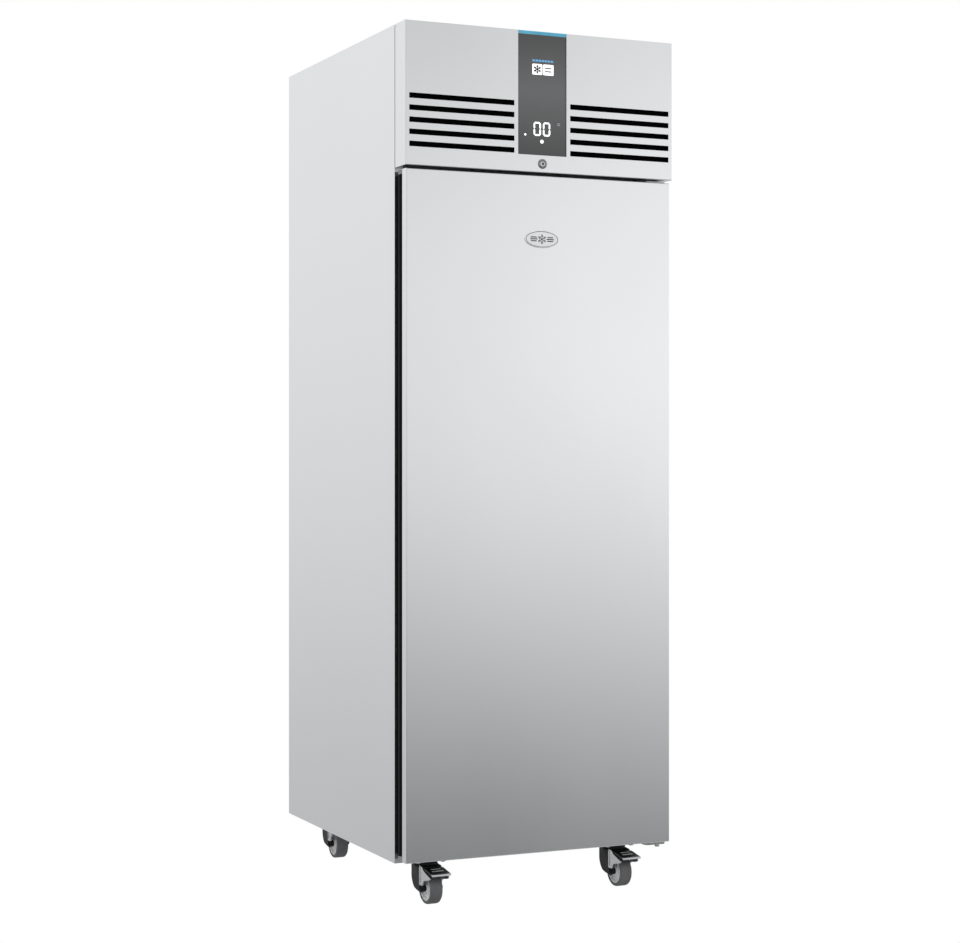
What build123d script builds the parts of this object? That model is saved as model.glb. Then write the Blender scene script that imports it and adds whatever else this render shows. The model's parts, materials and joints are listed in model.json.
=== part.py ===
from build123d import *
import os
from math import cos, radians, sin

# Upright single-door refrigerator on castors, with its cooling unit on top.
# Millimetres. The origin is on the floor under the middle of the footprint,
# +X to the right seen from the front, +Y to the back, +Z up.

# ---- overall sizes
WIDTH = 700
DEPTH = 820
BODY_HEIGHT = 1952

# ---- sheet metal, walls and general clearances
SHEET = 1.0
LINER_SHEET = 0.8
FRAME_THICK = 3
FRAME_EDGE = 20
FRAME_HEADER = 44
WALL = 62
CEILING = 62
SLAB_JOINT = 0.5
FIT = 0.2
RUNNING = 0.05
MOVING_GAP = 0.3

# ---- facia over the door
FACIA_HEIGHT = 333.5
FACIA_DEPTH = 66
FACIA_SHEET = 1.2
FACIA_REAR_GAP = 3
SLOT_ROWS = 5
SLOT_HEIGHT = 12.6
SLOT_PITCH = 27.8
SLOT_TOP_DROP = 167
SLOT_INNER = 73.3
SLOT_SIDE_MARGIN = 9.7
BAFFLE_LAP = 4
BAFFLE_SHEET = 1
BAFFLE_DEPTH = 8
DISPLAY_WIDTH = 127
DISPLAY_DROP = 293
DISPLAY_SINK = 3
DISPLAY_THICK = 10
STRIP_HEIGHT = 8
LOCK_RISE = 20.5
LOCK_PROUD = 2
LOCK_BEZEL_RADIUS = 11.8
LOCK_BODY_RADIUS = 9
LOCK_BARREL_RADIUS = 6
LOCK_BODY_LENGTH = 23
CAM_REACH = 35
CAM_WIDTH = 10
CAM_THICK = 2.5
FACIA_PIN_RADIUS = 2.5
FACIA_PIN_INSET = 6

# ---- door
DOOR_THICK = 50
DOOR_SETBACK = 5
DOOR_TOP_GAP = 7
DOOR_FOOT_GAP = 9
DOOR_INSET = 4
DOOR_EDGE_RADIUS = 2.5
SKIN_RETURN = 24
HANDLE_WIDTH = 26
HANDLE_FRONT = 7
GRIP_OPENING = 17
GRIP_DEPTH = 18
GRIP_HOOK = 10
CAP_TOP = 9
CAP_FOOT = 10
GASKET_WIDTH = 20
GASKET_LAND = 6
GASKET_GAP = 0.3
BADGE_WIDTH = 88
BADGE_HEIGHT = 41
BADGE_THICK = 3
BADGE_DROP = 491

# ---- door hinges
HINGE_INSET = 23
HINGE_SETBACK = 28
HINGE_PIN_RADIUS = 5
BUSH_WALL = 3
BUSH_LENGTH = 14
BRACKET_THICK = 3
BRACKET_LEG_THICK = 2
BRACKET_WIDTH = 56
BRACKET_SIDE = 18
BRACKET_REACH = 46
UPPER_LEG_HEIGHT = 42
LOWER_LEG_HEIGHT = 22
LOWER_BRACKET_GAP = 2
UPPER_BRACKET_GAP = 1.5
LOWER_BRACKET_THICK = 6
NUT_RADIUS = 6
NUT_HEIGHT = 7

# ---- interior
POST_WIDTH = 22
POST_THICK = 10
POST_CLEAR = 32
POST_SETBACK = 80
POST_SLOT_PITCH = 60
POST_SLOT_WIDTH = 6
POST_SLOT_HEIGHT = 14
SHELF_THICK = 6
SHELF_SIDE_CLEAR = 12.2
SHELF_FRONT_CLEAR = 3
SHELF_REAR_CLEAR = 3.2
SHELF_BARS = 21
SHELF_CROSS_BARS = 4
SHELF_BAR_WIDTH = 4
SHELF_LEVELS = (500, 870, 1240)
SLIDE_SHEET = 2
SLIDE_HEIGHT = 25
SLIDE_LEDGE = 19
DUCT_SIDE_CLEAR = 42.2
DUCT_DEPTH = 30
DUCT_FOOT_RISE = 92
DUCT_SLOT_ROWS = 12

# ---- cooling unit over the ceiling
TRAY_LIP = 15
REAR_LEDGE_RISE = 14
GRILLE_RECESS = 18
COIL_WIDTH = 266
COIL_HEIGHT = 254
COIL_DEPTH = 50
COIL_FRONT_CLEAR = 9
COIL_SIDE_CLEAR = 32
COIL_PLATE = 1.5
SHROUD_DEPTH = 20
FAN_RADIUS = 102
FAN_TIP_GAP = 5
FAN_HUB_RADIUS = 28
FAN_HUB_LENGTH = 20
FAN_SHAFT_RADIUS = 3
BLADES = 5
BLADE_CHORD = 46
BLADE_THICK = 2
BLADE_PITCH = 24
MOTOR_RADIUS = 40
MOTOR_LENGTH = 18
COMPRESSOR_SIDE_CLEAR = 120
COMPRESSOR_FRONT_CLEAR = 72
COMPRESSOR_RADIUS = 80
COMPRESSOR_HEIGHT = 190
COMPRESSOR_MOUNT_HEIGHT = 14
PIPE_RADIUS = 4
PIPE_BEND = 22
EVAPORATOR_SIDE_CLEAR = 50
EVAPORATOR_DEPTH = 296
EVAPORATOR_REAR_CLEAR = 24
EVAPORATOR_HEIGHT = 264
EVAPORATOR_WALL = 28
PORT_SIDE_CLEAR = 10
CONTROL_BOX_WIDTH = 96
CONTROL_BOX_DEPTH = 120
CONTROL_BOX_HEIGHT = 100
CONTROL_BOX_SIDE_CLEAR = 14
CONTROL_BOX_REAR_CLEAR = 30
INTAKE_DEPTH = 70
GLAND_INSET = 26
GLAND_RISE = 74

# ---- castors
CASTOR_HEAD = 31
CASTOR_SIDE_INSET = 99
CASTOR_FRONT_INSET = 49
CASTOR_REAR_INSET = 81
CASTOR_TRAIL = 27
CASTOR_YAW_FRONT = 2
PLATE_SIZE = 84
PLATE_THICK = 4
PLATE_BOLT_SPACING = 62
PLATE_BOLT_RADIUS = 4.5
BOSS_RADIUS = 28
BOSS_HEIGHT = 11
KINGPIN_RADIUS = 5
KINGPIN_HEAD_RADIUS = 9
KINGPIN_HEAD_HEIGHT = 3.5
CROWN_THICK = 5
CROWN_RADIUS = 30
CHEEK_NOSE = 40
LEG_THICK = 2.5
LEG_GAP = 7
WHEEL_RADIUS = 37.5
HUB_RADIUS = 29.5
TYRE_WIDTH = 31
HUB_WIDTH = 28
TREAD_SHOULDER = 4
AXLE_RADIUS = 4
AXLE_END = 7
NUT_LENGTH = 5
LEG_BACK = 34
CHEEK_TIP = 51
PEDAL_RANGE_CLEAR = 5
PEDAL_SHEET = 3
TREAD_START = 15
TREAD_LENGTH = 44
TREAD_DROP = 8
TREAD_HALF = 24.5

# ---- places worked out from the sizes above
HALF = WIDTH / 2
CASTOR_HEIGHT = 2 * WHEEL_RADIUS + CASTOR_HEAD
FRONT = -DEPTH / 2 + LOCK_PROUD
REAR = DEPTH / 2
CASE_FRONT = FRONT + FACIA_DEPTH
BASE = CASTOR_HEIGHT
TOP = BASE + BODY_HEIGHT
FACIA_FOOT = TOP - FACIA_HEIGHT
CEILING_TOP = FACIA_FOOT - SHEET
FRAME_OUTER = HALF - FRAME_EDGE
FRAME_TOP = FACIA_FOOT + FRAME_HEADER
LINER_X = HALF - WALL
LINER_FLOOR = BASE + WALL
LINER_CEILING = FACIA_FOOT - CEILING
LINER_BACK = REAR - WALL
INSIDE_X = LINER_X - LINER_SHEET
INSIDE_FLOOR = LINER_FLOOR + LINER_SHEET
INSIDE_CEILING = LINER_CEILING - LINER_SHEET
INSIDE_BACK = LINER_BACK - LINER_SHEET
LINER_FRONT = CASE_FRONT + FRAME_THICK
CASTOR_SPREAD = HALF - CASTOR_SIDE_INSET
CASTOR_FRONT_Y = CASE_FRONT + CASTOR_FRONT_INSET
CASTOR_REAR_Y = REAR - CASTOR_REAR_INSET

DOOR_FACE = FRONT + DOOR_SETBACK
DOOR_BACK = DOOR_FACE + DOOR_THICK
DOOR_HALF = HALF - DOOR_INSET
DOOR_TOP = FACIA_FOOT - DOOR_TOP_GAP
DOOR_FOOT = BASE + DOOR_FOOT_GAP
RETURN_BACK = DOOR_FACE + SKIN_RETURN
HANDLE_INNER = DOOR_HALF - HANDLE_WIDTH
HINGE_X = HALF - HINGE_INSET
HINGE_Y = DOOR_FACE + HINGE_SETBACK
LOCK_Z = FACIA_FOOT + LOCK_RISE
CAM_FRONT = -DEPTH / 2 + LOCK_PROUD + LOCK_BODY_LENGTH + MOVING_GAP
FACIA_BACK = CASE_FRONT - FACIA_REAR_GAP
FACIA_PIN_Y = FACIA_BACK - FACIA_PIN_INSET
FACIA_PIN_Z = TOP - FACIA_PIN_INSET

TRAY_TOP = FACIA_FOOT
LEDGE = FACIA_FOOT + REAR_LEDGE_RISE
GRILLE_Y = REAR - GRILLE_RECESS
GLAND_X = HALF - GLAND_INSET
COIL_X = -HALF + COIL_SIDE_CLEAR + COIL_WIDTH / 2
COIL_FRONT = CASE_FRONT + COIL_FRONT_CLEAR
COIL_BACK = COIL_FRONT + COIL_DEPTH
COIL_Z = TRAY_TOP + COIL_HEIGHT / 2
SHROUD_BACK = COIL_BACK + SHROUD_DEPTH
EVAPORATOR_BACK = REAR - EVAPORATOR_REAR_CLEAR
EVAPORATOR_FRONT = EVAPORATOR_BACK - EVAPORATOR_DEPTH
EVAPORATOR_WIDTH = WIDTH - 2 * EVAPORATOR_SIDE_CLEAR
EVAPORATOR_TOP = TRAY_TOP + EVAPORATOR_HEIGHT
INTAKE_FRONT = EVAPORATOR_FRONT + EVAPORATOR_WALL + 12
DUCT_FRONT = INSIDE_BACK - DUCT_DEPTH
DUCT_WIDTH = 2 * (INSIDE_X - DUCT_SIDE_CLEAR)
PORT_WIDTH = DUCT_WIDTH - 2 * PORT_SIDE_CLEAR
COMPRESSOR_X = HALF - COMPRESSOR_SIDE_CLEAR - COMPRESSOR_RADIUS
COMPRESSOR_Y = CASE_FRONT + COMPRESSOR_FRONT_CLEAR + COMPRESSOR_RADIUS
EVAPORATOR_COIL_FRONT = INTAKE_FRONT + INTAKE_DEPTH + 15

AXLE_Z = WHEEL_RADIUS
CROWN_TOP = BASE - PLATE_THICK - BOSS_HEIGHT - MOVING_GAP
CROWN_FOOT = CROWN_TOP - CROWN_THICK
LEG_INNER = TYRE_WIDTH / 2 + LEG_GAP
LEG_OUTER = LEG_INNER + LEG_THICK
PEDAL_PIVOT_Y = -CASTOR_TRAIL - 4
PEDAL_PIVOT_Z = CROWN_TOP - 5
CROWN_FRONT = PEDAL_PIVOT_Y + 10

os.makedirs("parts", exist_ok=True)


def save(builder, name):
    """Label one finished sub-part and write it to its own STEP file."""
    builder.part.label = name
    export_step(builder.part, f"parts/{name}.step")


def on(frame, plane):
    """The given plane, carried from the model's frame into a local one."""
    return Plane(frame.location * plane.location)


def block(x, y, z, mode=Mode.ADD, frame=Plane.XY):
    """A rectangular block between two X, two Y and two Z values."""
    with BuildSketch(on(frame, Plane.XY.offset(z[0]))) as outline:
        with Locations(((x[0] + x[1]) / 2, (y[0] + y[1]) / 2)):
            Rectangle(x[1] - x[0], y[1] - y[0])
    extrude(outline.sketch, amount=z[1] - z[0], mode=mode)


def rod(start, direction, radius, length, mode=Mode.ADD, frame=Plane.XY):
    """A round bar or hole from a point along a direction."""
    with BuildSketch(on(frame, Plane(origin=start, z_dir=direction))) as outline:
        Circle(radius)
    extrude(outline.sketch, amount=length, mode=mode)


def hexagon(start, direction, radius, length, frame=Plane.XY):
    """A hexagon bar, for nuts and bolt heads."""
    with BuildSketch(on(frame, Plane(origin=start, z_dir=direction))) as outline:
        RegularPolygon(radius, 6)
    extrude(outline.sketch, amount=length)


# ================ cabinet shell ================

with BuildPart() as outer_case:
    block((-HALF, HALF), (CASE_FRONT, REAR), (BASE, TOP))
    block((-HALF + SHEET, HALF - SHEET), (CASE_FRONT + SHEET, REAR - SHEET), (BASE, TOP), Mode.SUBTRACT)
    # the front is open between two narrow folded edges, and fully open behind the facia
    block((-FRAME_OUTER, FRAME_OUTER), (CASE_FRONT, CASE_FRONT + SHEET), (BASE, TOP), Mode.SUBTRACT)
    block((-HALF + SHEET, HALF - SHEET), (CASE_FRONT, CASE_FRONT + SHEET), (FACIA_FOOT, TOP), Mode.SUBTRACT)
    # the back stops at the ledge under the rear grille
    block((-HALF + SHEET, HALF - SHEET), (REAR - SHEET, REAR), (LEDGE, TOP), Mode.SUBTRACT)
save(outer_case, "outer_case")

with BuildPart() as base_panel:
    block((-HALF + SHEET, HALF - SHEET), (CASE_FRONT + FRAME_THICK, REAR - SHEET), (BASE, BASE + SHEET))
save(base_panel, "base_panel")

with BuildPart() as cabinet_insulation:
    slab_x = HALF - SHEET
    slab_back = REAR - SHEET
    wall_z = (LINER_FLOOR + SLAB_JOINT, LINER_CEILING - SLAB_JOINT)
    # five slabs: floor, ceiling, two sides and the back between them
    block((-slab_x, slab_x), (LINER_FRONT, slab_back), (BASE + SHEET, LINER_FLOOR))
    block((-slab_x, slab_x), (LINER_FRONT, slab_back), (LINER_CEILING, CEILING_TOP))
    for side in (-1, 1):
        block(sorted((side * slab_x, side * LINER_X)), (LINER_FRONT, slab_back), wall_z)
    block((-LINER_X + SLAB_JOINT, LINER_X - SLAB_JOINT), (LINER_BACK, slab_back), wall_z)
    # air ports through the ceiling: up to the evaporator at the front, down to the duct at the back
    for port in ((INTAKE_FRONT, INTAKE_FRONT + INTAKE_DEPTH), (DUCT_FRONT, INSIDE_BACK)):
        block((-PORT_WIDTH / 2, PORT_WIDTH / 2), port, (LINER_CEILING, CEILING_TOP), Mode.SUBTRACT)
save(cabinet_insulation, "cabinet_insulation")

with BuildPart() as inner_liner:
    block((-LINER_X, LINER_X), (LINER_FRONT, LINER_BACK), (LINER_FLOOR, LINER_CEILING))
    block((-INSIDE_X, INSIDE_X), (LINER_FRONT, INSIDE_BACK), (INSIDE_FLOOR, INSIDE_CEILING), Mode.SUBTRACT)
    for port in ((INTAKE_FRONT, INTAKE_FRONT + INTAKE_DEPTH), (DUCT_FRONT, INSIDE_BACK)):
        block((-PORT_WIDTH / 2, PORT_WIDTH / 2), port, (INSIDE_CEILING, LINER_CEILING), Mode.SUBTRACT)
save(inner_liner, "inner_liner")

with BuildPart() as front_frame:
    block((-FRAME_OUTER, FRAME_OUTER), (CASE_FRONT, LINER_FRONT), (BASE, FRAME_TOP))
    block((-INSIDE_X, INSIDE_X), (CASE_FRONT, LINER_FRONT), (INSIDE_FLOOR, INSIDE_CEILING), Mode.SUBTRACT)
save(front_frame, "front_frame")

with BuildPart() as top_cover:
    cover_front = CASE_FRONT + 2
    cover_x = HALF - SHEET
    block((-cover_x, cover_x), (cover_front, REAR), (TOP - SHEET, TOP))
    block((-cover_x, cover_x), (REAR - SHEET, REAR), (TOP - TRAY_LIP, TOP - SHEET))
    with BuildSketch(Plane.XY.offset(TOP)):
        with Locations((COMPRESSOR_X - COMPRESSOR_RADIUS, COMPRESSOR_Y)):
            with GridLocations(190, 22, 2, 7):
                SlotOverall(170, 8)
    extrude(amount=-SHEET, mode=Mode.SUBTRACT)
save(top_cover, "top_cover")

with BuildPart() as rear_grille:
    grille_foot = TRAY_TOP + TRAY_LIP
    block((-HALF + SHEET, HALF - SHEET), (GRILLE_Y, GRILLE_Y + SHEET), (grille_foot, TOP - SHEET))
    with BuildSketch(Plane.XZ.offset(-GRILLE_Y - SHEET)):
        with Locations((0, (LEDGE + TOP) / 2 + 40)):
            with GridLocations(200, 20, 3, 9):
                SlotOverall(170, 8)
    extrude(amount=SHEET, mode=Mode.SUBTRACT)
    rod((GLAND_X, GRILLE_Y, LEDGE + GLAND_RISE), (0, 1, 0), 8, SHEET, Mode.SUBTRACT)
save(rear_grille, "rear_grille")

# ================ inside the cabinet ================

post_front = CASE_FRONT + POST_SETBACK
post_rear = DUCT_FRONT - POST_SETBACK + POST_WIDTH
post_foot = INSIDE_FLOOR + POST_CLEAR
post_head = INSIDE_CEILING - POST_CLEAR

with BuildPart() as rack_uprights:
    for side in (-1, 1):
        for post_y in (post_front, post_rear):
            x = sorted((side * INSIDE_X, side * (INSIDE_X - POST_THICK)))
            block(x, (post_y, post_y + POST_WIDTH), (post_foot, post_head))
    slot_count = int((post_head - post_foot) / POST_SLOT_PITCH) - 1
    with BuildSketch(Plane.YZ):
        for post_y in (post_front, post_rear):
            with Locations((post_y + POST_WIDTH / 2, (post_foot + post_head) / 2)):
                with GridLocations(0, POST_SLOT_PITCH, 1, slot_count):
                    Rectangle(POST_SLOT_WIDTH, POST_SLOT_HEIGHT)
    extrude(amount=INSIDE_X, both=True, mode=Mode.SUBTRACT)
save(rack_uprights, "rack_uprights")

slide_outer = INSIDE_X - POST_THICK
shelf_front = LINER_FRONT + SHELF_FRONT_CLEAR
shelf_depth = DUCT_FRONT - SHELF_REAR_CLEAR - shelf_front
shelf_width = 2 * (slide_outer - SHELF_SIDE_CLEAR)

with BuildPart() as shelf_slides:
    for level in SHELF_LEVELS:
        for side in (-1, 1):
            depth = (shelf_front, shelf_front + shelf_depth)
            leg = sorted((side * slide_outer, side * (slide_outer - SLIDE_SHEET)))
            ledge = sorted((side * slide_outer, side * (slide_outer - SLIDE_LEDGE)))
            block(leg, depth, (level, level + SLIDE_HEIGHT))
            block(ledge, depth, (level - SLIDE_SHEET, level))
save(shelf_slides, "shelf_slides")

with BuildPart() as wire_shelves:
    bar_gap = (shelf_width - SHELF_BAR_WIDTH) / SHELF_BARS
    cross_gap = (shelf_depth - SHELF_BAR_WIDTH) / SHELF_CROSS_BARS
    for level in SHELF_LEVELS:
        with BuildSketch(Plane.XY.offset(level)):
            with Locations((0, shelf_front + shelf_depth / 2)):
                Rectangle(shelf_width, shelf_depth)
                with GridLocations(bar_gap, cross_gap, SHELF_BARS, SHELF_CROSS_BARS):
                    Rectangle(bar_gap - SHELF_BAR_WIDTH, cross_gap - SHELF_BAR_WIDTH, mode=Mode.SUBTRACT)
        extrude(amount=SHELF_THICK)
save(wire_shelves, "wire_shelves")

duct_foot = INSIDE_FLOOR + DUCT_FOOT_RISE

with BuildPart() as rear_air_duct:
    duct_x = DUCT_WIDTH / 2
    block((-duct_x, duct_x), (DUCT_FRONT, INSIDE_BACK), (duct_foot, INSIDE_CEILING))
    inside_x = duct_x - SHEET
    block((-inside_x, inside_x), (DUCT_FRONT + SHEET, INSIDE_BACK), (duct_foot, INSIDE_CEILING), Mode.SUBTRACT)
    with BuildSketch(Plane.XZ.offset(-DUCT_FRONT)):
        with Locations((0, (duct_foot + INSIDE_CEILING) / 2)):
            with GridLocations(160, 100, 2, DUCT_SLOT_ROWS):
                SlotOverall(110, 10)
    extrude(amount=-SHEET, mode=Mode.SUBTRACT)
save(rear_air_duct, "rear_air_duct")

# ================ cooling unit ================

with BuildPart() as unit_tray:
    tray_x = HALF - SHEET
    tray_y = (CASE_FRONT + FRAME_THICK, REAR - SHEET)
    block((-tray_x, tray_x), tray_y, (CEILING_TOP, TRAY_TOP))
    for side in (-1, 1):
        lip = sorted((side * tray_x, side * (tray_x - SHEET)))
        block(lip, tray_y, (TRAY_TOP, TRAY_TOP + TRAY_LIP))
    for port in ((INTAKE_FRONT, INTAKE_FRONT + INTAKE_DEPTH), (DUCT_FRONT, INSIDE_BACK)):
        block((-PORT_WIDTH / 2, PORT_WIDTH / 2), port, (CEILING_TOP, TRAY_TOP), Mode.SUBTRACT)
save(unit_tray, "unit_tray")

coil_left = COIL_X - COIL_WIDTH / 2
coil_right = COIL_X + COIL_WIDTH / 2
coil_top = TRAY_TOP + COIL_HEIGHT

with BuildPart() as condenser_coil:
    fin_inset = 2
    plate = (COIL_FRONT, COIL_BACK)
    block((coil_left, coil_right), (COIL_FRONT + fin_inset, COIL_BACK - fin_inset),
          (TRAY_TOP + fin_inset, coil_top - fin_inset))
    block((coil_left - COIL_PLATE, coil_left), plate, (TRAY_TOP, coil_top))
    block((coil_right, coil_right + COIL_PLATE), plate, (TRAY_TOP, coil_top))
    # the hairpin ends of the tubes stand out of the left end plate
    with BuildSketch(Plane.YZ.offset(coil_left - COIL_PLATE)):
        with Locations(((COIL_FRONT + COIL_BACK) / 2, COIL_Z)):
            with GridLocations(24, 30, 2, 8):
                Circle(5)
    extrude(amount=-12)
save(condenser_coil, "condenser_coil")

with BuildPart() as air_filter:
    filter_foot = TRAY_TOP + 2
    filter_y = (CASE_FRONT + FRAME_THICK, CASE_FRONT + FRAME_THICK + 5)
    block((coil_left, coil_right), filter_y, (filter_foot, coil_top))
    with BuildSketch(Plane.XZ.offset(-filter_y[0])):
        with Locations((COIL_X, (filter_foot + coil_top) / 2)):
            with GridLocations(42, 40, 6, 6):
                Rectangle(38, 36)
    extrude(amount=-5, mode=Mode.SUBTRACT)
save(air_filter, "air_filter")

with BuildPart() as fan_shroud:
    block((coil_left - COIL_PLATE, coil_right + COIL_PLATE), (COIL_BACK, SHROUD_BACK), (TRAY_TOP, coil_top))
    block((coil_left + 2, coil_right - 2), (COIL_BACK, SHROUD_BACK - 2), (TRAY_TOP + 2, coil_top - 2), Mode.SUBTRACT)
    rod((COIL_X, SHROUD_BACK - 2, COIL_Z), (0, 1, 0), FAN_RADIUS + FAN_TIP_GAP, 2, Mode.SUBTRACT)
save(fan_shroud, "fan_shroud")


def make_fan(centre_x, hub_front, centre_z, radius):
    """A five-blade fan on a Y axis, bored for its motor's shaft."""
    rod((centre_x, hub_front, centre_z), (0, 1, 0), FAN_HUB_RADIUS, FAN_HUB_LENGTH)
    for blade in range(BLADES):
        turn = radians(360 / BLADES * blade)
        outward = Vector(cos(turn), 0, sin(turn))
        root = Vector(centre_x, hub_front + FAN_HUB_LENGTH / 2, centre_z) + outward * (FAN_HUB_RADIUS - 6)
        around = Vector(-sin(turn), 0, cos(turn))
        chord = around * cos(radians(BLADE_PITCH)) + Vector(0, 1, 0) * sin(radians(BLADE_PITCH))
        with BuildSketch(Plane(origin=root, x_dir=chord, z_dir=outward)) as section:
            RectangleRounded(BLADE_CHORD, BLADE_THICK, BLADE_THICK * 0.45)
        extrude(section.sketch, amount=radius - FAN_HUB_RADIUS + 6)
    rod((centre_x, hub_front, centre_z), (0, 1, 0), FAN_SHAFT_RADIUS + RUNNING, FAN_HUB_LENGTH, Mode.SUBTRACT)


def make_motor(centre_x, fan_front, centre_z, arm_half, arm_front):
    """A fan motor on a cross strip whose two legs reach forward to what carries it."""
    motor_front = fan_front + FAN_HUB_LENGTH + 4
    strip = motor_front + MOTOR_LENGTH
    rod((centre_x, fan_front, centre_z), (0, 1, 0), FAN_SHAFT_RADIUS, FAN_HUB_LENGTH + 4)
    rod((centre_x, motor_front, centre_z), (0, 1, 0), MOTOR_RADIUS, MOTOR_LENGTH)
    block((centre_x - arm_half, centre_x + arm_half), (strip, strip + 3), (centre_z - 12, centre_z + 12))
    for side in (-1, 1):
        leg = sorted((centre_x + side * arm_half, centre_x + side * (arm_half - 3)))
        block(leg, (arm_front, strip), (centre_z - 12, centre_z + 12))


condenser_fan_front = SHROUD_BACK - FAN_HUB_LENGTH + 4
with BuildPart() as condenser_fan:
    make_fan(COIL_X, condenser_fan_front, COIL_Z, FAN_RADIUS)
save(condenser_fan, "condenser_fan")

with BuildPart() as condenser_fan_motor:
    make_motor(COIL_X, condenser_fan_front, COIL_Z, COIL_WIDTH / 2 - 4, SHROUD_BACK)
save(condenser_fan_motor, "condenser_fan_motor")

compressor_foot = TRAY_TOP + COMPRESSOR_MOUNT_HEIGHT
mount_spread = COMPRESSOR_RADIUS - 12

with BuildPart() as compressor_mounts:
    with BuildSketch(Plane.XY.offset(TRAY_TOP)):
        with Locations((COMPRESSOR_X, COMPRESSOR_Y)):
            with GridLocations(2 * mount_spread, 2 * mount_spread, 2, 2):
                Circle(11)
    extrude(amount=COMPRESSOR_MOUNT_HEIGHT)
save(compressor_mounts, "compressor_mounts")

compressor_top = compressor_foot + 3 + COMPRESSOR_HEIGHT
stub_top = compressor_top + 6
discharge_x = COMPRESSOR_X - 35
suction_x = COMPRESSOR_X + 35

with BuildPart() as can:
    rod((COMPRESSOR_X, COMPRESSOR_Y, compressor_foot + 3), (0, 0, 1), COMPRESSOR_RADIUS - 4, COMPRESSOR_HEIGHT)
    fillet(can.edges().filter_by(GeomType.CIRCLE), radius=26)

with BuildPart() as compressor:
    with BuildSketch(Plane.XY.offset(compressor_foot)):
        with Locations((COMPRESSOR_X, COMPRESSOR_Y)):
            RectangleRounded(2 * COMPRESSOR_RADIUS, 2 * COMPRESSOR_RADIUS, 12)
    extrude(amount=3)
    add(can.part)
    block((COMPRESSOR_X + COMPRESSOR_RADIUS - 20, COMPRESSOR_X + COMPRESSOR_RADIUS + 16),
          (COMPRESSOR_Y - 28, COMPRESSOR_Y + 28), (compressor_foot + 60, compressor_foot + 120))
    for stub_x in (discharge_x, suction_x):
        rod((stub_x, COMPRESSOR_Y, compressor_top - 30), (0, 0, 1), PIPE_RADIUS + 2, stub_top - compressor_top + 30)
save(compressor, "compressor")

with BuildPart() as evaporator_housing:
    hx = EVAPORATOR_WIDTH / 2
    block((-hx, hx), (EVAPORATOR_FRONT, EVAPORATOR_BACK), (TRAY_TOP, EVAPORATOR_TOP))
    block((-hx + EVAPORATOR_WALL, hx - EVAPORATOR_WALL),
          (EVAPORATOR_FRONT + EVAPORATOR_WALL, EVAPORATOR_BACK - EVAPORATOR_WALL),
          (TRAY_TOP, EVAPORATOR_TOP - EVAPORATOR_WALL), Mode.SUBTRACT)
save(evaporator_housing, "evaporator_housing")

evaporator_roof = EVAPORATOR_TOP - EVAPORATOR_WALL
evaporator_fan_z = (TRAY_TOP + evaporator_roof) / 2
evaporator_fan_front = EVAPORATOR_COIL_FRONT - FAN_HUB_LENGTH - 34

with BuildPart() as evaporator_coil:
    coil_half = EVAPORATOR_WIDTH / 2 - EVAPORATOR_WALL - 14
    block((-coil_half, coil_half), (EVAPORATOR_COIL_FRONT, EVAPORATOR_COIL_FRONT + 70), (TRAY_TOP, evaporator_roof))
save(evaporator_coil, "evaporator_coil")

with BuildPart() as evaporator_fan:
    make_fan(0, evaporator_fan_front, evaporator_fan_z, FAN_RADIUS - 6)
save(evaporator_fan, "evaporator_fan")

with BuildPart() as evaporator_fan_motor:
    motor_back = evaporator_fan_front + FAN_HUB_LENGTH + 4 + MOTOR_LENGTH
    rod((0, evaporator_fan_front, evaporator_fan_z), (0, 1, 0), FAN_SHAFT_RADIUS, FAN_HUB_LENGTH + 4)
    rod((0, motor_back - MOTOR_LENGTH, evaporator_fan_z), (0, 1, 0), MOTOR_RADIUS, MOTOR_LENGTH)
    block((-60, 60), (motor_back, EVAPORATOR_COIL_FRONT), (evaporator_fan_z - 14, evaporator_fan_z + 14))
save(evaporator_fan_motor, "evaporator_fan_motor")


def pipe(points, radius, bend):
    """A tube along straight runs joined by tangent arcs."""
    with BuildLine() as route:
        if len(points) == 2:
            Line(*points)
        else:
            FilletPolyline(*points, radius=bend)
    with BuildSketch(Plane(origin=route.line @ 0, z_dir=route.line % 0)) as section:
        Circle(radius)
    sweep(section.sketch, path=route.line)


pipe_z = compressor_top + 36
coil_pipe_y = (COIL_FRONT + COIL_BACK) / 2
coil_face = coil_right + COIL_PLATE
drier_x = coil_face + 60
drier_z = TRAY_TOP + 24
drier_y = COMPRESSOR_Y + 110

with BuildPart() as pipework:
    # hot gas to the condenser
    pipe([(discharge_x, COMPRESSOR_Y, stub_top), (discharge_x, COMPRESSOR_Y, pipe_z),
          (drier_x, COMPRESSOR_Y, pipe_z), (drier_x, coil_pipe_y, pipe_z - 44),
          (coil_face, coil_pipe_y, pipe_z - 44)], PIPE_RADIUS, PIPE_BEND)
    # liquid line through the filter drier to the evaporator
    pipe([(coil_face, coil_pipe_y, drier_z), (drier_x, coil_pipe_y, drier_z),
          (drier_x, drier_y, drier_z)], PIPE_RADIUS - 1, PIPE_BEND)
    rod((drier_x, drier_y, drier_z), (0, 1, 0), 11, 70)
    pipe([(drier_x, drier_y + 70, drier_z), (drier_x, EVAPORATOR_FRONT, drier_z)], PIPE_RADIUS - 2, 0)
    # suction line back to the compressor
    pipe([(suction_x, COMPRESSOR_Y, stub_top), (suction_x, COMPRESSOR_Y, pipe_z),
          (suction_x, EVAPORATOR_FRONT, pipe_z)], PIPE_RADIUS, PIPE_BEND)
save(pipework, "pipework")

control_box_right = HALF - CONTROL_BOX_SIDE_CLEAR
control_box_back = EVAPORATOR_FRONT - CONTROL_BOX_REAR_CLEAR

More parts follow.
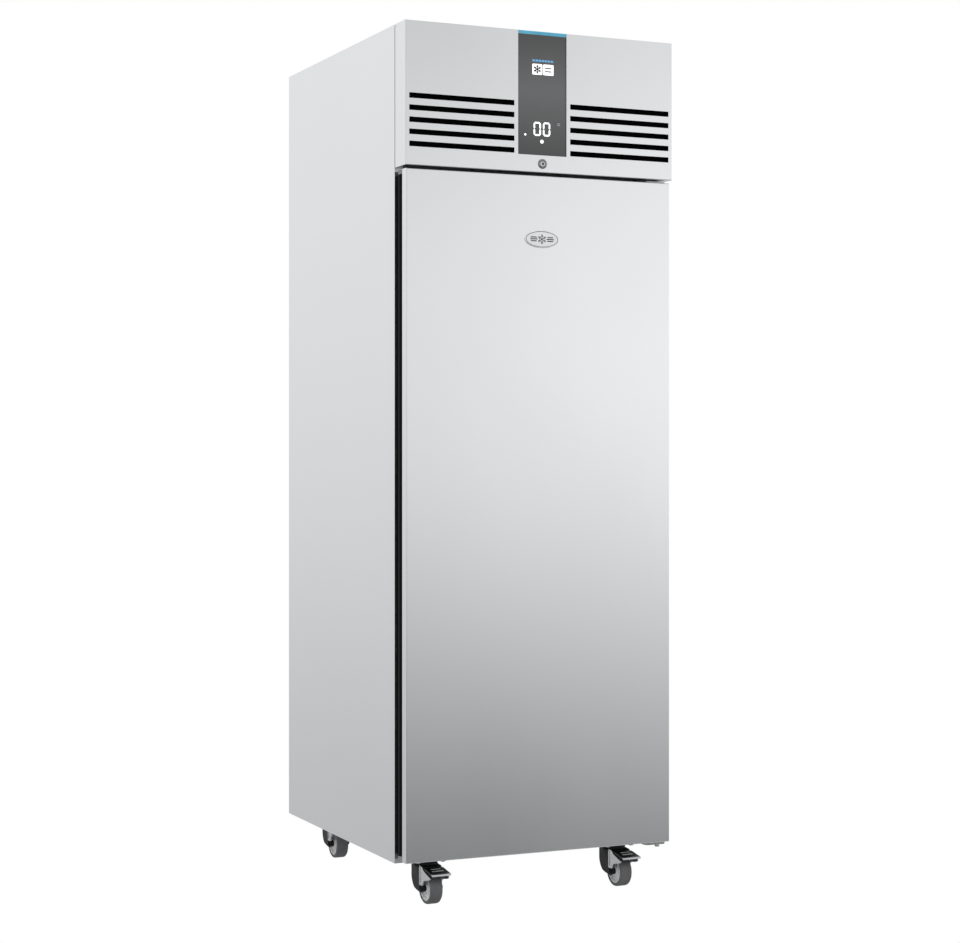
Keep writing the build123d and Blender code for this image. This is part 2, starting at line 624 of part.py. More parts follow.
with BuildPart() as control_box:
    block((control_box_right - CONTROL_BOX_WIDTH, control_box_right),
          (control_box_back - CONTROL_BOX_DEPTH, control_box_back), (TRAY_TOP, TRAY_TOP + CONTROL_BOX_HEIGHT))
    fillet(control_box.edges().filter_by(Axis.Z), radius=6)
save(control_box, "control_box")

gland_z = LEDGE + GLAND_RISE

with BuildPart() as gland_dome:
    rod((GLAND_X, GRILLE_Y + SHEET + 6, gland_z), (0, 1, 0), 9.5, 10)
    fillet(gland_dome.edges().filter_by(GeomType.CIRCLE).sort_by(Axis.Y)[-1], radius=4)

with BuildPart() as mains_gland:
    rod((GLAND_X, GRILLE_Y - 8, gland_z), (0, 1, 0), 7.8, 8 + SHEET)
    hexagon((GLAND_X, GRILLE_Y - 8, gland_z), (0, 1, 0), 12, 8)
    hexagon((GLAND_X, GRILLE_Y + SHEET, gland_z), (0, 1, 0), 12, 6)
    add(gland_dome.part)
    rod((GLAND_X, GRILLE_Y - 8, gland_z), (0, 1, 0), 4.5, 8 + SHEET + 16, Mode.SUBTRACT)
save(mains_gland, "mains_gland")

# ================ hinges fixed to the cabinet ================

bracket_x = (HINGE_X - BRACKET_WIDTH + BRACKET_SIDE, HINGE_X + BRACKET_SIDE)
bracket_y = (CASE_FRONT - BRACKET_REACH, CASE_FRONT)
leg_y = (CASE_FRONT - BRACKET_LEG_THICK, CASE_FRONT)

with BuildPart() as upper_hinge:
    plate_z = DOOR_TOP + UPPER_BRACKET_GAP
    block(bracket_x, bracket_y, (plate_z, plate_z + BRACKET_THICK))
    fillet(upper_hinge.edges().filter_by(Axis.Z).group_by(Axis.Y)[0], radius=10)
    block(bracket_x, leg_y, (plate_z + BRACKET_THICK, plate_z + BRACKET_THICK + UPPER_LEG_HEIGHT))
    pin_length = UPPER_BRACKET_GAP + BUSH_LENGTH - 2
    rod((HINGE_X, HINGE_Y, plate_z), (0, 0, -1), HINGE_PIN_RADIUS, pin_length)
save(upper_hinge, "upper_hinge")

with BuildPart() as lower_hinge:
    plate_top = DOOR_FOOT - LOWER_BRACKET_GAP
    plate_foot = plate_top - LOWER_BRACKET_THICK
    block(bracket_x, bracket_y, (plate_foot, plate_top))
    fillet(lower_hinge.edges().filter_by(Axis.Z).group_by(Axis.Y)[0], radius=10)
    block(bracket_x, leg_y, (plate_top, plate_top + LOWER_LEG_HEIGHT))
    rod((HINGE_X, HINGE_Y, plate_top), (0, 0, 1), HINGE_PIN_RADIUS, LOWER_BRACKET_GAP + BUSH_LENGTH - 2)
    hexagon((HINGE_X, HINGE_Y, plate_foot), (0, 0, -1), NUT_RADIUS, NUT_HEIGHT)
save(lower_hinge, "lower_hinge")

with BuildPart() as facia_hinge_pins:
    ear_x = HALF - FACIA_SHEET - 1
    for side in (-1, 1):
        ear = sorted((side * ear_x, side * (ear_x - 2)))
        foot = sorted((side * (HALF - SHEET), side * (ear_x - 2)))
        block(ear, (FACIA_PIN_Y - 4, CASE_FRONT + 24), (FACIA_PIN_Z - 10, FACIA_PIN_Z - 1))
        block(foot, (CASE_FRONT + 6, CASE_FRONT + 24), (FACIA_PIN_Z - 10, FACIA_PIN_Z - 1))
        rod((side * (ear_x - 2), FACIA_PIN_Y, FACIA_PIN_Z), (side, 0, 0), FACIA_PIN_RADIUS + 1.5, 2)
        rod((side * ear_x, FACIA_PIN_Y, FACIA_PIN_Z), (side, 0, 0), FACIA_PIN_RADIUS, 1 + FACIA_SHEET - FIT)
save(facia_hinge_pins, "facia_hinge_pins")

# ================ facia ================

recess_x = DISPLAY_WIDTH / 2
recess_foot = TOP - DISPLAY_DROP
recess_back = FRONT + DISPLAY_SINK + DISPLAY_THICK
slot_centre = TOP - SLOT_TOP_DROP - SLOT_HEIGHT / 2 - (SLOT_ROWS - 1) * SLOT_PITCH / 2
slot_outer = HALF - SLOT_SIDE_MARGIN

with BuildPart() as facia_panel:
    block((-HALF, HALF), (FRONT, FACIA_BACK), (FACIA_FOOT, TOP))
    fillet(facia_panel.edges().filter_by(Axis.X).group_by(Axis.Z)[-1].sort_by(Axis.Y)[-1], radius=FACIA_PIN_INSET)
    fillet(facia_panel.faces().sort_by(Axis.Y)[0].edges(), radius=1.5)
    inner_x = HALF - FACIA_SHEET
    inner_z = (FACIA_FOOT + FACIA_SHEET, TOP - FACIA_SHEET)
    lip_y = FACIA_BACK - FACIA_PIN_INSET
    block((-inner_x, inner_x), (FRONT + FACIA_SHEET, lip_y), inner_z, Mode.SUBTRACT)
    block((-inner_x, inner_x), (lip_y, FACIA_BACK), (FACIA_FOOT + FACIA_SHEET, FACIA_PIN_Z), Mode.SUBTRACT)
    rod((-inner_x, FACIA_PIN_Y, FACIA_PIN_Z), (1, 0, 0), FACIA_PIN_INSET - FACIA_SHEET, 2 * inner_x, Mode.SUBTRACT)
    # walls of the sunk display bay, then the bay itself, open at the top
    block((-recess_x - FACIA_SHEET, recess_x + FACIA_SHEET), (FRONT + FACIA_SHEET, recess_back),
          (recess_foot - FACIA_SHEET, TOP - FACIA_SHEET))
    block((-recess_x, recess_x), (FRONT, recess_back), (recess_foot, TOP), Mode.SUBTRACT)
    with BuildSketch(Plane.XZ.offset(-FRONT)):
        with Locations((0, slot_centre)):
            with GridLocations(SLOT_INNER + slot_outer, SLOT_PITCH, 2, SLOT_ROWS):
                Rectangle(slot_outer - SLOT_INNER, SLOT_HEIGHT)
    extrude(amount=-FACIA_SHEET, mode=Mode.SUBTRACT)
    rod((0, FRONT, LOCK_Z), (0, 1, 0), LOCK_BODY_RADIUS, FACIA_SHEET, Mode.SUBTRACT)
    # room for the lock's cam to swing down, and for the hinge pins
    cam_slot_y = (CAM_FRONT - 2, CAM_FRONT + CAM_THICK + 2)
    block((-CAM_WIDTH / 2 - 3, CAM_REACH), cam_slot_y, (FACIA_FOOT, FACIA_FOOT + FACIA_SHEET), Mode.SUBTRACT)
    rod((-HALF, FACIA_PIN_Y, FACIA_PIN_Z), (1, 0, 0), FACIA_PIN_RADIUS + RUNNING, WIDTH, Mode.SUBTRACT)
    # the rolled rear lip is notched where it would turn into the pins' ears
    for side in (-1, 1):
        notch = sorted((side * inner_x, side * (inner_x - 5)))
        block(notch, (FACIA_PIN_Y, FACIA_BACK), (FACIA_PIN_Z - 1, TOP), Mode.SUBTRACT)
save(facia_panel, "facia_panel")

baffle_rows = (SLOT_ROWS - 1) * SLOT_PITCH / 2 + SLOT_HEIGHT / 2 + BAFFLE_LAP
baffle_y = (FRONT + FACIA_SHEET, FRONT + FACIA_SHEET + BAFFLE_DEPTH)

with BuildPart() as slot_baffles:
    # shallow trays behind the slots; their own slits are half a pitch away, so nothing shows through
    for side in (-1, 1):
        ends = (SLOT_INNER - BAFFLE_LAP, slot_outer + BAFFLE_LAP)
        block(sorted((side * ends[0], side * ends[1])), baffle_y, (slot_centre - baffle_rows, slot_centre + baffle_rows))
        hollow = (ends[0] + BAFFLE_SHEET, ends[1] - BAFFLE_SHEET)
        block(sorted((side * hollow[0], side * hollow[1])), (baffle_y[0], baffle_y[1] - BAFFLE_SHEET),
              (slot_centre - baffle_rows + BAFFLE_SHEET, slot_centre + baffle_rows - BAFFLE_SHEET), Mode.SUBTRACT)
    with BuildSketch(Plane.XZ.offset(-baffle_y[1])):
        with Locations((0, slot_centre)):
            with GridLocations(SLOT_INNER + slot_outer, SLOT_PITCH, 2, SLOT_ROWS - 1):
                Rectangle(slot_outer - SLOT_INNER, SLOT_HEIGHT)
    extrude(amount=BAFFLE_SHEET, mode=Mode.SUBTRACT)
save(slot_baffles, "slot_baffles")

display_face = FRONT + DISPLAY_SINK
display_x = recess_x - FIT
strip_foot = TOP - STRIP_HEIGHT

with BuildPart() as display_panel:
    block((-display_x, display_x), (display_face, display_face + DISPLAY_THICK), (recess_foot, strip_foot))
save(display_panel, "display_panel")

with BuildPart() as display_light_strip:
    block((-display_x, display_x), (display_face, display_face + DISPLAY_THICK), (strip_foot, TOP))
save(display_light_strip, "display_light_strip")

with BuildPart() as display_controller:
    controller_back = display_face + DISPLAY_THICK
    block((-50, 50), (controller_back, controller_back + 18), (recess_foot + 20, recess_foot + 110))
save(display_controller, "display_controller")

lock_back = FRONT + LOCK_BODY_LENGTH

with BuildPart() as lock_housing:
    rod((0, FRONT - LOCK_PROUD, LOCK_Z), (0, 1, 0), LOCK_BEZEL_RADIUS, LOCK_PROUD)
    rod((0, FRONT, LOCK_Z), (0, 1, 0), LOCK_BODY_RADIUS, LOCK_BODY_LENGTH)
    bore = LOCK_BARREL_RADIUS + RUNNING
    rod((0, FRONT - LOCK_PROUD, LOCK_Z), (0, 1, 0), bore, LOCK_PROUD + LOCK_BODY_LENGTH, Mode.SUBTRACT)
save(lock_housing, "lock_housing")

with BuildPart() as lock_barrel:
    barrel_front = FRONT - LOCK_PROUD + 0.5
    rod((0, barrel_front, LOCK_Z), (0, 1, 0), LOCK_BARREL_RADIUS, CAM_FRONT - barrel_front)
    block((-0.8, 0.8), (barrel_front, barrel_front + 4), (LOCK_Z - 4, LOCK_Z + 4), Mode.SUBTRACT)
save(lock_barrel, "lock_barrel")

with BuildPart() as lock_cam:
    with BuildSketch(Plane.XZ.offset(-CAM_FRONT)):
        with Locations(((CAM_REACH - CAM_WIDTH / 2) / 2, LOCK_Z)):
            SlotOverall(CAM_REACH + CAM_WIDTH / 2, CAM_WIDTH)
    extrude(amount=-CAM_THICK)
save(lock_cam, "lock_cam")

# ================ door ================

door_x = (-DOOR_HALF, DOOR_HALF)
cam_pocket_x = (-CAM_WIDTH / 2 - 3, CAM_REACH)
cam_pocket_foot = LOCK_Z - CAM_REACH - 4
bush_radius = HINGE_PIN_RADIUS + RUNNING + BUSH_WALL
foot_bush = (HINGE_X, HINGE_Y, DOOR_FOOT)
head_bush = (HINGE_X, HINGE_Y, DOOR_TOP)

with BuildPart() as skin_hollow:
    block((-DOOR_HALF + SHEET, DOOR_HALF - SHEET), (DOOR_FACE + SHEET, DOOR_BACK + SHEET),
          (DOOR_FOOT + SHEET, DOOR_TOP - SHEET))
    fillet(skin_hollow.faces().sort_by(Axis.Y)[0].edges(), radius=DOOR_EDGE_RADIUS - SHEET)

with BuildPart() as door_outer_skin:
    block(door_x, (DOOR_FACE, DOOR_BACK), (DOOR_FOOT, DOOR_TOP))
    fillet(door_outer_skin.faces().sort_by(Axis.Y)[0].edges(), radius=DOOR_EDGE_RADIUS)
    add(skin_hollow.part, mode=Mode.SUBTRACT)
    # behind the short left-hand return the handle takes over
    block((-DOOR_HALF, -HANDLE_INNER), (RETURN_BACK, DOOR_BACK), (DOOR_FOOT, DOOR_TOP), Mode.SUBTRACT)
    block(cam_pocket_x, cam_slot_y, (DOOR_TOP - SHEET, DOOR_TOP), Mode.SUBTRACT)
    rod(foot_bush, (0, 0, 1), bush_radius, SHEET, Mode.SUBTRACT)
    rod(head_bush, (0, 0, -1), bush_radius, SHEET, Mode.SUBTRACT)
save(door_outer_skin, "door_outer_skin")

foam_x = DOOR_HALF - SHEET
foam_front = DOOR_FACE + SHEET
liner_front = DOOR_BACK - SHEET
handle_front = foam_front + HANDLE_FRONT

with BuildPart() as door_insulation:
    block((-foam_x, foam_x), (foam_front, liner_front), (DOOR_FOOT + SHEET, DOOR_TOP - SHEET))
    fillet(door_insulation.faces().sort_by(Axis.Y)[0].edges(), radius=DOOR_EDGE_RADIUS - SHEET)
    block((-DOOR_HALF, -HANDLE_INNER), (handle_front, DOOR_BACK), (DOOR_FOOT, DOOR_TOP), Mode.SUBTRACT)
    block(cam_pocket_x, cam_slot_y, (cam_pocket_foot, DOOR_TOP), Mode.SUBTRACT)
    rod(foot_bush, (0, 0, 1), bush_radius, BUSH_LENGTH, Mode.SUBTRACT)
    rod(head_bush, (0, 0, -1), bush_radius, BUSH_LENGTH, Mode.SUBTRACT)
save(door_insulation, "door_insulation")

with BuildPart() as door_inner_liner:
    block((-HANDLE_INNER, foam_x), (liner_front, DOOR_BACK), (DOOR_FOOT + SHEET, DOOR_TOP - SHEET))
save(door_inner_liner, "door_inner_liner")

with BuildPart() as door_hinge_bushes:
    rod(foot_bush, (0, 0, 1), bush_radius, BUSH_LENGTH)
    rod(head_bush, (0, 0, -1), bush_radius, BUSH_LENGTH)
    rod(foot_bush, (0, 0, 1), HINGE_PIN_RADIUS + RUNNING, BUSH_LENGTH, Mode.SUBTRACT)
    rod(head_bush, (0, 0, -1), HINGE_PIN_RADIUS + RUNNING, BUSH_LENGTH, Mode.SUBTRACT)
save(door_hinge_bushes, "door_hinge_bushes")

gasket_x = INSIDE_X + GASKET_LAND + GASKET_WIDTH
gasket_z = (INSIDE_FLOOR - GASKET_LAND - GASKET_WIDTH, INSIDE_CEILING + GASKET_LAND + GASKET_WIDTH)

with BuildPart() as door_gasket:
    block((-gasket_x, gasket_x), (DOOR_BACK, CASE_FRONT - GASKET_GAP), gasket_z)
    block((-gasket_x + GASKET_WIDTH, gasket_x - GASKET_WIDTH), (DOOR_BACK, CASE_FRONT - GASKET_GAP),
          (gasket_z[0] + GASKET_WIDTH, gasket_z[1] - GASKET_WIDTH), Mode.SUBTRACT)
save(door_gasket, "door_gasket")

handle_foot = DOOR_FOOT + SHEET
handle_head = DOOR_TOP - SHEET
grip_back = RETURN_BACK + GRIP_OPENING

with BuildPart() as door_handle:
    with BuildSketch(Plane.XY.offset(handle_foot + CAP_FOOT)) as handle_profile:
        with BuildLine():
            Polyline(
                (-DOOR_HALF, DOOR_BACK), (-DOOR_HALF, RETURN_BACK), (-DOOR_HALF + SHEET, RETURN_BACK),
                (-DOOR_HALF + SHEET, handle_front), (-HANDLE_INNER, handle_front),
                (-HANDLE_INNER, DOOR_BACK), (-DOOR_HALF, DOOR_BACK),
            )
        make_face()
        # the finger scoop: it opens behind the skin's return and hooks forward inside it
        with BuildLine():
            scoop_x = -DOOR_HALF + GRIP_DEPTH
            hook_x = -DOOR_HALF + SHEET + 2
            Polyline((-DOOR_HALF, grip_back), (-DOOR_HALF, RETURN_BACK), (hook_x, RETURN_BACK),
                     (hook_x, RETURN_BACK - GRIP_HOOK + 4))
            ThreePointArc((hook_x, RETURN_BACK - GRIP_HOOK + 4), (hook_x + 6, RETURN_BACK - GRIP_HOOK),
                          (scoop_x - 1, RETURN_BACK - 2))
            ThreePointArc((scoop_x - 1, RETURN_BACK - 2), (scoop_x - 3, RETURN_BACK + 9), (-DOOR_HALF, grip_back))
        make_face(mode=Mode.SUBTRACT)
    extrude(amount=handle_head - CAP_TOP - handle_foot - CAP_FOOT)
save(door_handle, "door_handle")

with BuildPart() as handle_end_caps:
    cap_x = (-DOOR_HALF, -HANDLE_INNER)
    inner_cap_x = (-DOOR_HALF + SHEET, -HANDLE_INNER)
    for span in ((handle_foot, handle_foot + CAP_FOOT), (handle_head - CAP_TOP, handle_head)):
        block(cap_x, (RETURN_BACK, DOOR_BACK), span)
        block(inner_cap_x, (handle_front, RETURN_BACK), span)
save(handle_end_caps, "handle_end_caps")

with BuildPart() as door_badge:
    with BuildSketch(Plane.XZ.offset(-DOOR_FACE)):
        with Locations((0, TOP - BADGE_DROP)):
            Ellipse(BADGE_WIDTH / 2, BADGE_HEIGHT / 2)
    extrude(amount=BADGE_THICK)
    fillet(door_badge.faces().sort_by(Axis.Y)[0].edges(), radius=1.2)
save(door_badge, "door_badge")

# ================ castors ================

castor_corners = {
    "front_left": (-CASTOR_SPREAD, CASTOR_FRONT_Y, CASTOR_YAW_FRONT, True),
    "front_right": (CASTOR_SPREAD, CASTOR_FRONT_Y, CASTOR_YAW_FRONT, True),
    "rear_left": (-CASTOR_SPREAD, CASTOR_REAR_Y, 0, False),
    "rear_right": (CASTOR_SPREAD, CASTOR_REAR_Y, 0, False),
}

with BuildPart() as castor_plates:
    for x, y, yaw, braked in castor_corners.values():
        foot = Plane(origin=(x, y, 0))
        half = PLATE_SIZE / 2
        block((-half, half), (-half, half), (BASE - PLATE_THICK, BASE), frame=foot)
        rod((0, 0, BASE - PLATE_THICK), (0, 0, -1), BOSS_RADIUS, BOSS_HEIGHT, frame=foot)
        pin_foot = CROWN_FOOT - MOVING_GAP
        rod((0, 0, BASE - PLATE_THICK), (0, 0, -1), KINGPIN_RADIUS, BASE - PLATE_THICK - pin_foot, frame=foot)
        rod((0, 0, pin_foot), (0, 0, -1), KINGPIN_HEAD_RADIUS, KINGPIN_HEAD_HEIGHT, frame=foot)
        with BuildSketch(Plane(origin=(x, y, BASE - PLATE_THICK))):
            with GridLocations(PLATE_BOLT_SPACING, PLATE_BOLT_SPACING, 2, 2):
                Circle(PLATE_BOLT_RADIUS)
        extrude(amount=PLATE_THICK, mode=Mode.SUBTRACT)
save(castor_plates, "castor_plates")


def make_fork(foot, braked):
    """Round crown, two legs and the axle through them, in the castor's own frame."""
    crown = (CROWN_FOOT, CROWN_TOP)
    rod((0, 0, CROWN_FOOT), (0, 0, 1), CROWN_RADIUS, CROWN_THICK, frame=foot)
    # cut back in front, clear of the pedal's pivot
    block((-CROWN_RADIUS, CROWN_RADIUS), (-CROWN_RADIUS, CROWN_FRONT), crown, Mode.SUBTRACT, foot)
    block((-LEG_OUTER, LEG_OUTER), (CROWN_FRONT, LEG_BACK - 8), crown, frame=foot)
    rod((0, 0, CROWN_FOOT), (0, 0, 1), KINGPIN_RADIUS + RUNNING, CROWN_THICK, Mode.SUBTRACT, foot)
    axle_y = -CASTOR_TRAIL
    rear = [
        (LEG_BACK, CROWN_TOP), (LEG_BACK, AXLE_Z + 20), (LEG_BACK - 8, AXLE_Z + 8), (axle_y + 41, AXLE_Z - 3),
        (axle_y + 21, AXLE_Z - 8), (axle_y, AXLE_Z - 10.5), (axle_y - 10.5, AXLE_Z - 6), (axle_y - 11.5, AXLE_Z + 8.5),
    ]
    # a braked castor's cheeks run forward beside the tyre, under the pedal
    if braked:
        nose = [(axle_y - 39, AXLE_Z + 25), (axle_y - CHEEK_TIP + 2, AXLE_Z + 27.5), (axle_y - CHEEK_TIP, AXLE_Z + 32.5),
                (-CHEEK_NOSE, CROWN_FOOT - 4)]
    else:
        nose = [(axle_y - 17, AXLE_Z + 24), (axle_y - 19, AXLE_Z + 35), (-CHEEK_NOSE, CROWN_FOOT - 4)]
    for leg_x in (-LEG_OUTER, LEG_INNER):
        with BuildSketch(on(foot, Plane.YZ.offset(leg_x))) as leg:
            with BuildLine():
                Polyline(*rear, *nose, (-CHEEK_NOSE, CROWN_TOP), (LEG_BACK, CROWN_TOP))
            make_face()
            if braked:
                with Locations((PEDAL_PIVOT_Y, PEDAL_PIVOT_Z)):
                    Circle(2 + RUNNING, mode=Mode.SUBTRACT)
        extrude(leg.sketch, amount=LEG_THICK)
    axle_half = LEG_OUTER + AXLE_END
    rod((-axle_half, axle_y, AXLE_Z), (1, 0, 0), AXLE_RADIUS, 2 * axle_half, frame=foot)
    for end in (-LEG_OUTER - NUT_LENGTH, LEG_OUTER):
        hexagon((end, axle_y, AXLE_Z), (1, 0, 0), 7.5, NUT_LENGTH, foot)


def make_hub(foot):
    """Wheel centre with a long bore boss and a dished web."""
    start = (-HUB_WIDTH / 2, -CASTOR_TRAIL, AXLE_Z)
    rod(start, (1, 0, 0), HUB_RADIUS, HUB_WIDTH, frame=foot)
    for side in (-1, 1):
        with BuildSketch(on(foot, Plane.YZ.offset(side * HUB_WIDTH / 2))) as dish:
            with Locations((-CASTOR_TRAIL, AXLE_Z)):
                Circle(HUB_RADIUS - 4)
                Circle(AXLE_RADIUS + 6, mode=Mode.SUBTRACT)
        extrude(dish.sketch, amount=-side * 7, mode=Mode.SUBTRACT)
    rod(start, (1, 0, 0), AXLE_RADIUS + RUNNING, HUB_WIDTH, Mode.SUBTRACT, foot)


def make_tyre(foot):
    """Solid tyre with a crowned tread, moulded on the hub."""
    axle_centre = (0, -CASTOR_TRAIL, AXLE_Z)
    with BuildSketch(on(foot, Plane(origin=axle_centre, x_dir=(1, 0, 0), z_dir=(0, -1, 0)))) as section:
        with Locations((0, (HUB_RADIUS + WHEEL_RADIUS) / 2)):
            Rectangle(TYRE_WIDTH, WHEEL_RADIUS - HUB_RADIUS)
        fillet(section.vertices().group_by(Axis.Y)[-1], radius=TREAD_SHOULDER)
    axle_line = on(foot, Plane(origin=axle_centre, z_dir=(1, 0, 0)))
    revolve(section.sketch, axis=Axis(axle_line.origin, axle_line.z_dir))


def make_pedal(foot):
    """Brake pedal on its cross pin: a lever between the legs, a sloped tread over them and a shoe over the tyre."""
    ear = LEG_INNER - 1
    plate_top = PEDAL_PIVOT_Z + PEDAL_SHEET / 2
    tread_y = PEDAL_PIVOT_Y - TREAD_START
    tip_y = tread_y - TREAD_LENGTH
    tread = [(tread_y, plate_top), (tip_y, plate_top - TREAD_DROP), (tip_y, plate_top - TREAD_DROP - PEDAL_SHEET),
             (tread_y, plate_top - PEDAL_SHEET)]
    lever = [(PEDAL_PIVOT_Y, plate_top)] + tread + [(PEDAL_PIVOT_Y, plate_top - PEDAL_SHEET)]
    rod((-LEG_OUTER, PEDAL_PIVOT_Y, PEDAL_PIVOT_Z), (1, 0, 0), 2, 2 * LEG_OUTER, frame=foot)
    rod((-ear, PEDAL_PIVOT_Y, PEDAL_PIVOT_Z), (1, 0, 0), 4, 2 * ear, frame=foot)
    for outline, half in ((lever, ear), (tread, TREAD_HALF)):
        with BuildSketch(on(foot, Plane.YZ.offset(-half))) as side_view:
            with BuildLine():
                Polyline(*outline, outline[0])
            make_face()
        extrude(side_view.sketch, amount=2 * half)
    block((-12, 12), (PEDAL_PIVOT_Y - 10, PEDAL_PIVOT_Y - 3),
          (2 * WHEEL_RADIUS + PEDAL_RANGE_CLEAR - 2.5, PEDAL_PIVOT_Z), frame=foot)


for corner, (x, y, yaw, braked) in castor_corners.items():
    foot = Plane(origin=(x, y, 0), x_dir=(cos(radians(yaw)), sin(radians(yaw)), 0), z_dir=(0, 0, 1))
    with BuildPart() as castor_fork:
        make_fork(foot, braked)
    save(castor_fork, f"castor_fork_{corner}")
    with BuildPart() as castor_hub:
        make_hub(foot)
    save(castor_hub, f"castor_hub_{corner}")
    with BuildPart() as castor_tyre:
        make_tyre(foot)
    save(castor_tyre, f"castor_tyre_{corner}")
    if braked:
        with BuildPart() as brake_pedal:
            make_pedal(foot)
        save(brake_pedal, f"brake_pedal_{corner}")
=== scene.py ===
import json
from math import cos, pi, radians, sin

import bmesh
import bpy
from mathutils import Matrix, Vector


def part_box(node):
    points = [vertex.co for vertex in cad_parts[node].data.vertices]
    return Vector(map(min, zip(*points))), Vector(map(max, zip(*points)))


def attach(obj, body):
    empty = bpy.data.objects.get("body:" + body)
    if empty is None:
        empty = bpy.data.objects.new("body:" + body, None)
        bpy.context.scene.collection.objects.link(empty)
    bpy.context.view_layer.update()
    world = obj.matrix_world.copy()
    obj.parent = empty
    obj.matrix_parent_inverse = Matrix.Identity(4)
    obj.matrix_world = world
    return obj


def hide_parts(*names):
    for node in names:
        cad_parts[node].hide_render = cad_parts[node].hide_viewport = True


# Upright refrigerator on castors. Metres, +Y to the back, front face towards -Y.
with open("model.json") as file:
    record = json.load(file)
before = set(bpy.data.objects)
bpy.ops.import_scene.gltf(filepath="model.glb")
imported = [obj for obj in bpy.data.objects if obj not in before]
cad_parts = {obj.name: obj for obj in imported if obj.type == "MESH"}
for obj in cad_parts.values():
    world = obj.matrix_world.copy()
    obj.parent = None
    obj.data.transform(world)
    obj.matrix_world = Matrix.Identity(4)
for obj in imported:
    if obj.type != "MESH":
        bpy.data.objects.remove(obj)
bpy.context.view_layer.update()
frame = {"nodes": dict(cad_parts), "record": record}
nodes = frame["nodes"]
mm = 0.001
print("frame loaded,", len(nodes), "nodes")


# small helpers

def jointSpot(name):
    for joint in frame["record"]["behaviour"]["joints"]:
        if joint["name"] == name:
            return Vector(joint["pos_m"])


def middle(node):
    low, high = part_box(node)
    return (low + high) / 2


def keepPiece(bm, name, body, finish, replacing=(), angle=32):
    # turns a bmesh into a shown object that rides on one body
    bmesh.ops.recalc_face_normals(bm, faces=bm.faces)
    mesh = bpy.data.meshes.new(name)
    bm.to_mesh(mesh)
    bm.free()
    return keepMesh(mesh, name, body, finish, replacing, angle)


def keepMesh(mesh, name, body, finish, replacing=(), angle=32):
    mesh.name = name
    mesh.materials.clear()
    mesh.materials.append(finish)
    mesh.polygons.foreach_set("material_index", [0] * len(mesh.polygons))
    mesh.shade_smooth()
    mesh.set_sharp_from_angle(angle=radians(angle))
    piece = bpy.data.objects.new(name, mesh)
    bpy.context.collection.objects.link(piece)
    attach(piece, body)
    if replacing:
        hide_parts(*replacing)
    return piece


def addBox(bm, low, high, soften=0.0, place=None, steps=2):
    made = bmesh.ops.create_cube(bm, size=1.0)["verts"]
    low, high = Vector(low), Vector(high)
    for vert in made:
        vert.co = Vector([(low[i] + high[i]) / 2 + vert.co[i] * (high[i] - low[i]) for i in range(3)])
    if soften:
        edges = list({edge for vert in made for edge in vert.link_edges})
        made = bmesh.ops.bevel(bm, geom=edges, offset=soften, segments=steps, profile=0.6,
                               affect="EDGES", clamp_overlap=True)["verts"]
    if place:
        bmesh.ops.transform(bm, matrix=place, verts=list(made))
    return made


def addLathe(bm, profile, place, steps=48, closed=False, flat=9.0):
    # profile holds (radius, height) pairs; the turning axis is local Z of place, and flat cuts the disc on
    # its -Y side
    rings = []
    for radius, height in profile:
        if radius < 1e-7:
            rings.append([bm.verts.new(place @ Vector((0, 0, height)))])
            continue
        ring = []
        for k in range(steps):
            c, s = cos(2 * pi * k / steps), sin(2 * pi * k / steps)
            reach = min(radius, flat / -s) if s < -1e-6 else radius
            ring.append(bm.verts.new(place @ Vector((reach * c, reach * s, height))))
        rings.append(ring)
    pairs = list(zip(rings, rings[1:]))
    if closed:
        pairs.append((rings[-1], rings[0]))
    for a, b in pairs:
        for k in range(steps):
            n = (k + 1) % steps
            if len(a) == 1 and len(b) == 1:
                continue
            if len(a) == 1:
                bm.faces.new((a[0], b[n], b[k]))
            elif len(b) == 1:
                bm.faces.new((a[k], a[n], b[0]))
            else:
                bm.faces.new((a[k], a[n], b[n], b[k]))
    if not closed:
        for ring in (rings[0], rings[-1]):
            if len(ring) > 1:
                bm.faces.new(ring)


def addPlate(bm, outline, low, high, place, soften=0.0):
    # outline is in local X and Y of place, the thickness runs from low to high on its Z
    foot = [bm.verts.new(place @ Vector((x, y, low))) for x, y in outline]
    head = [bm.verts.new(place @ Vector((x, y, high))) for x, y in outline]
    count = len(outline)
    made = [bm.faces.new(foot[::-1]), bm.faces.new(head)]
    for k in range(count):
        made.append(bm.faces.new((foot[k], foot[(k + 1) % count], head[(k + 1) % count], head[k])))
    if soften:
        edges = list(made[0].edges) + list(made[1].edges)
        bmesh.ops.bevel(bm, geom=edges, offset=soften, segments=2, profile=0.6, affect="EDGES",
                        clamp_overlap=True)


def roundedOutline(points, bend, steps=5):
    # softens every corner of a closed 2-D outline
    smooth = []
    count = len(points)
    for k in range(count):
        before, corner, after = (Vector(points[(k + i) % count]) for i in (-1, 0, 1))
        radius = bend[k] if isinstance(bend, (list, tuple)) else bend
        toBefore, toAfter = before - corner, after - corner
        reach = min(radius, toBefore.length * 0.45, toAfter.length * 0.45)
        start, end = corner + toBefore.normalized() * reach, corner + toAfter.normalized() * reach
        for i in range(steps + 1):
            t = i / steps
            smooth.append(tuple((1 - t) ** 2 * start + 2 * t * (1 - t) * corner + t * t * end))
    return smooth


def rod(radius, low, high):
    # lathe profile of a plain round bar
    return [(0, low), (radius, low), (radius, high), (0, high)]


def hexagon(radius):
    return [(radius * cos(pi / 3 * k) * mm, radius * sin(pi / 3 * k) * mm) for k in range(6)]


def ordered(side, a, b):
    # the two ends of a span on the chosen side, the lower one first
    return sorted((side * a, side * b))


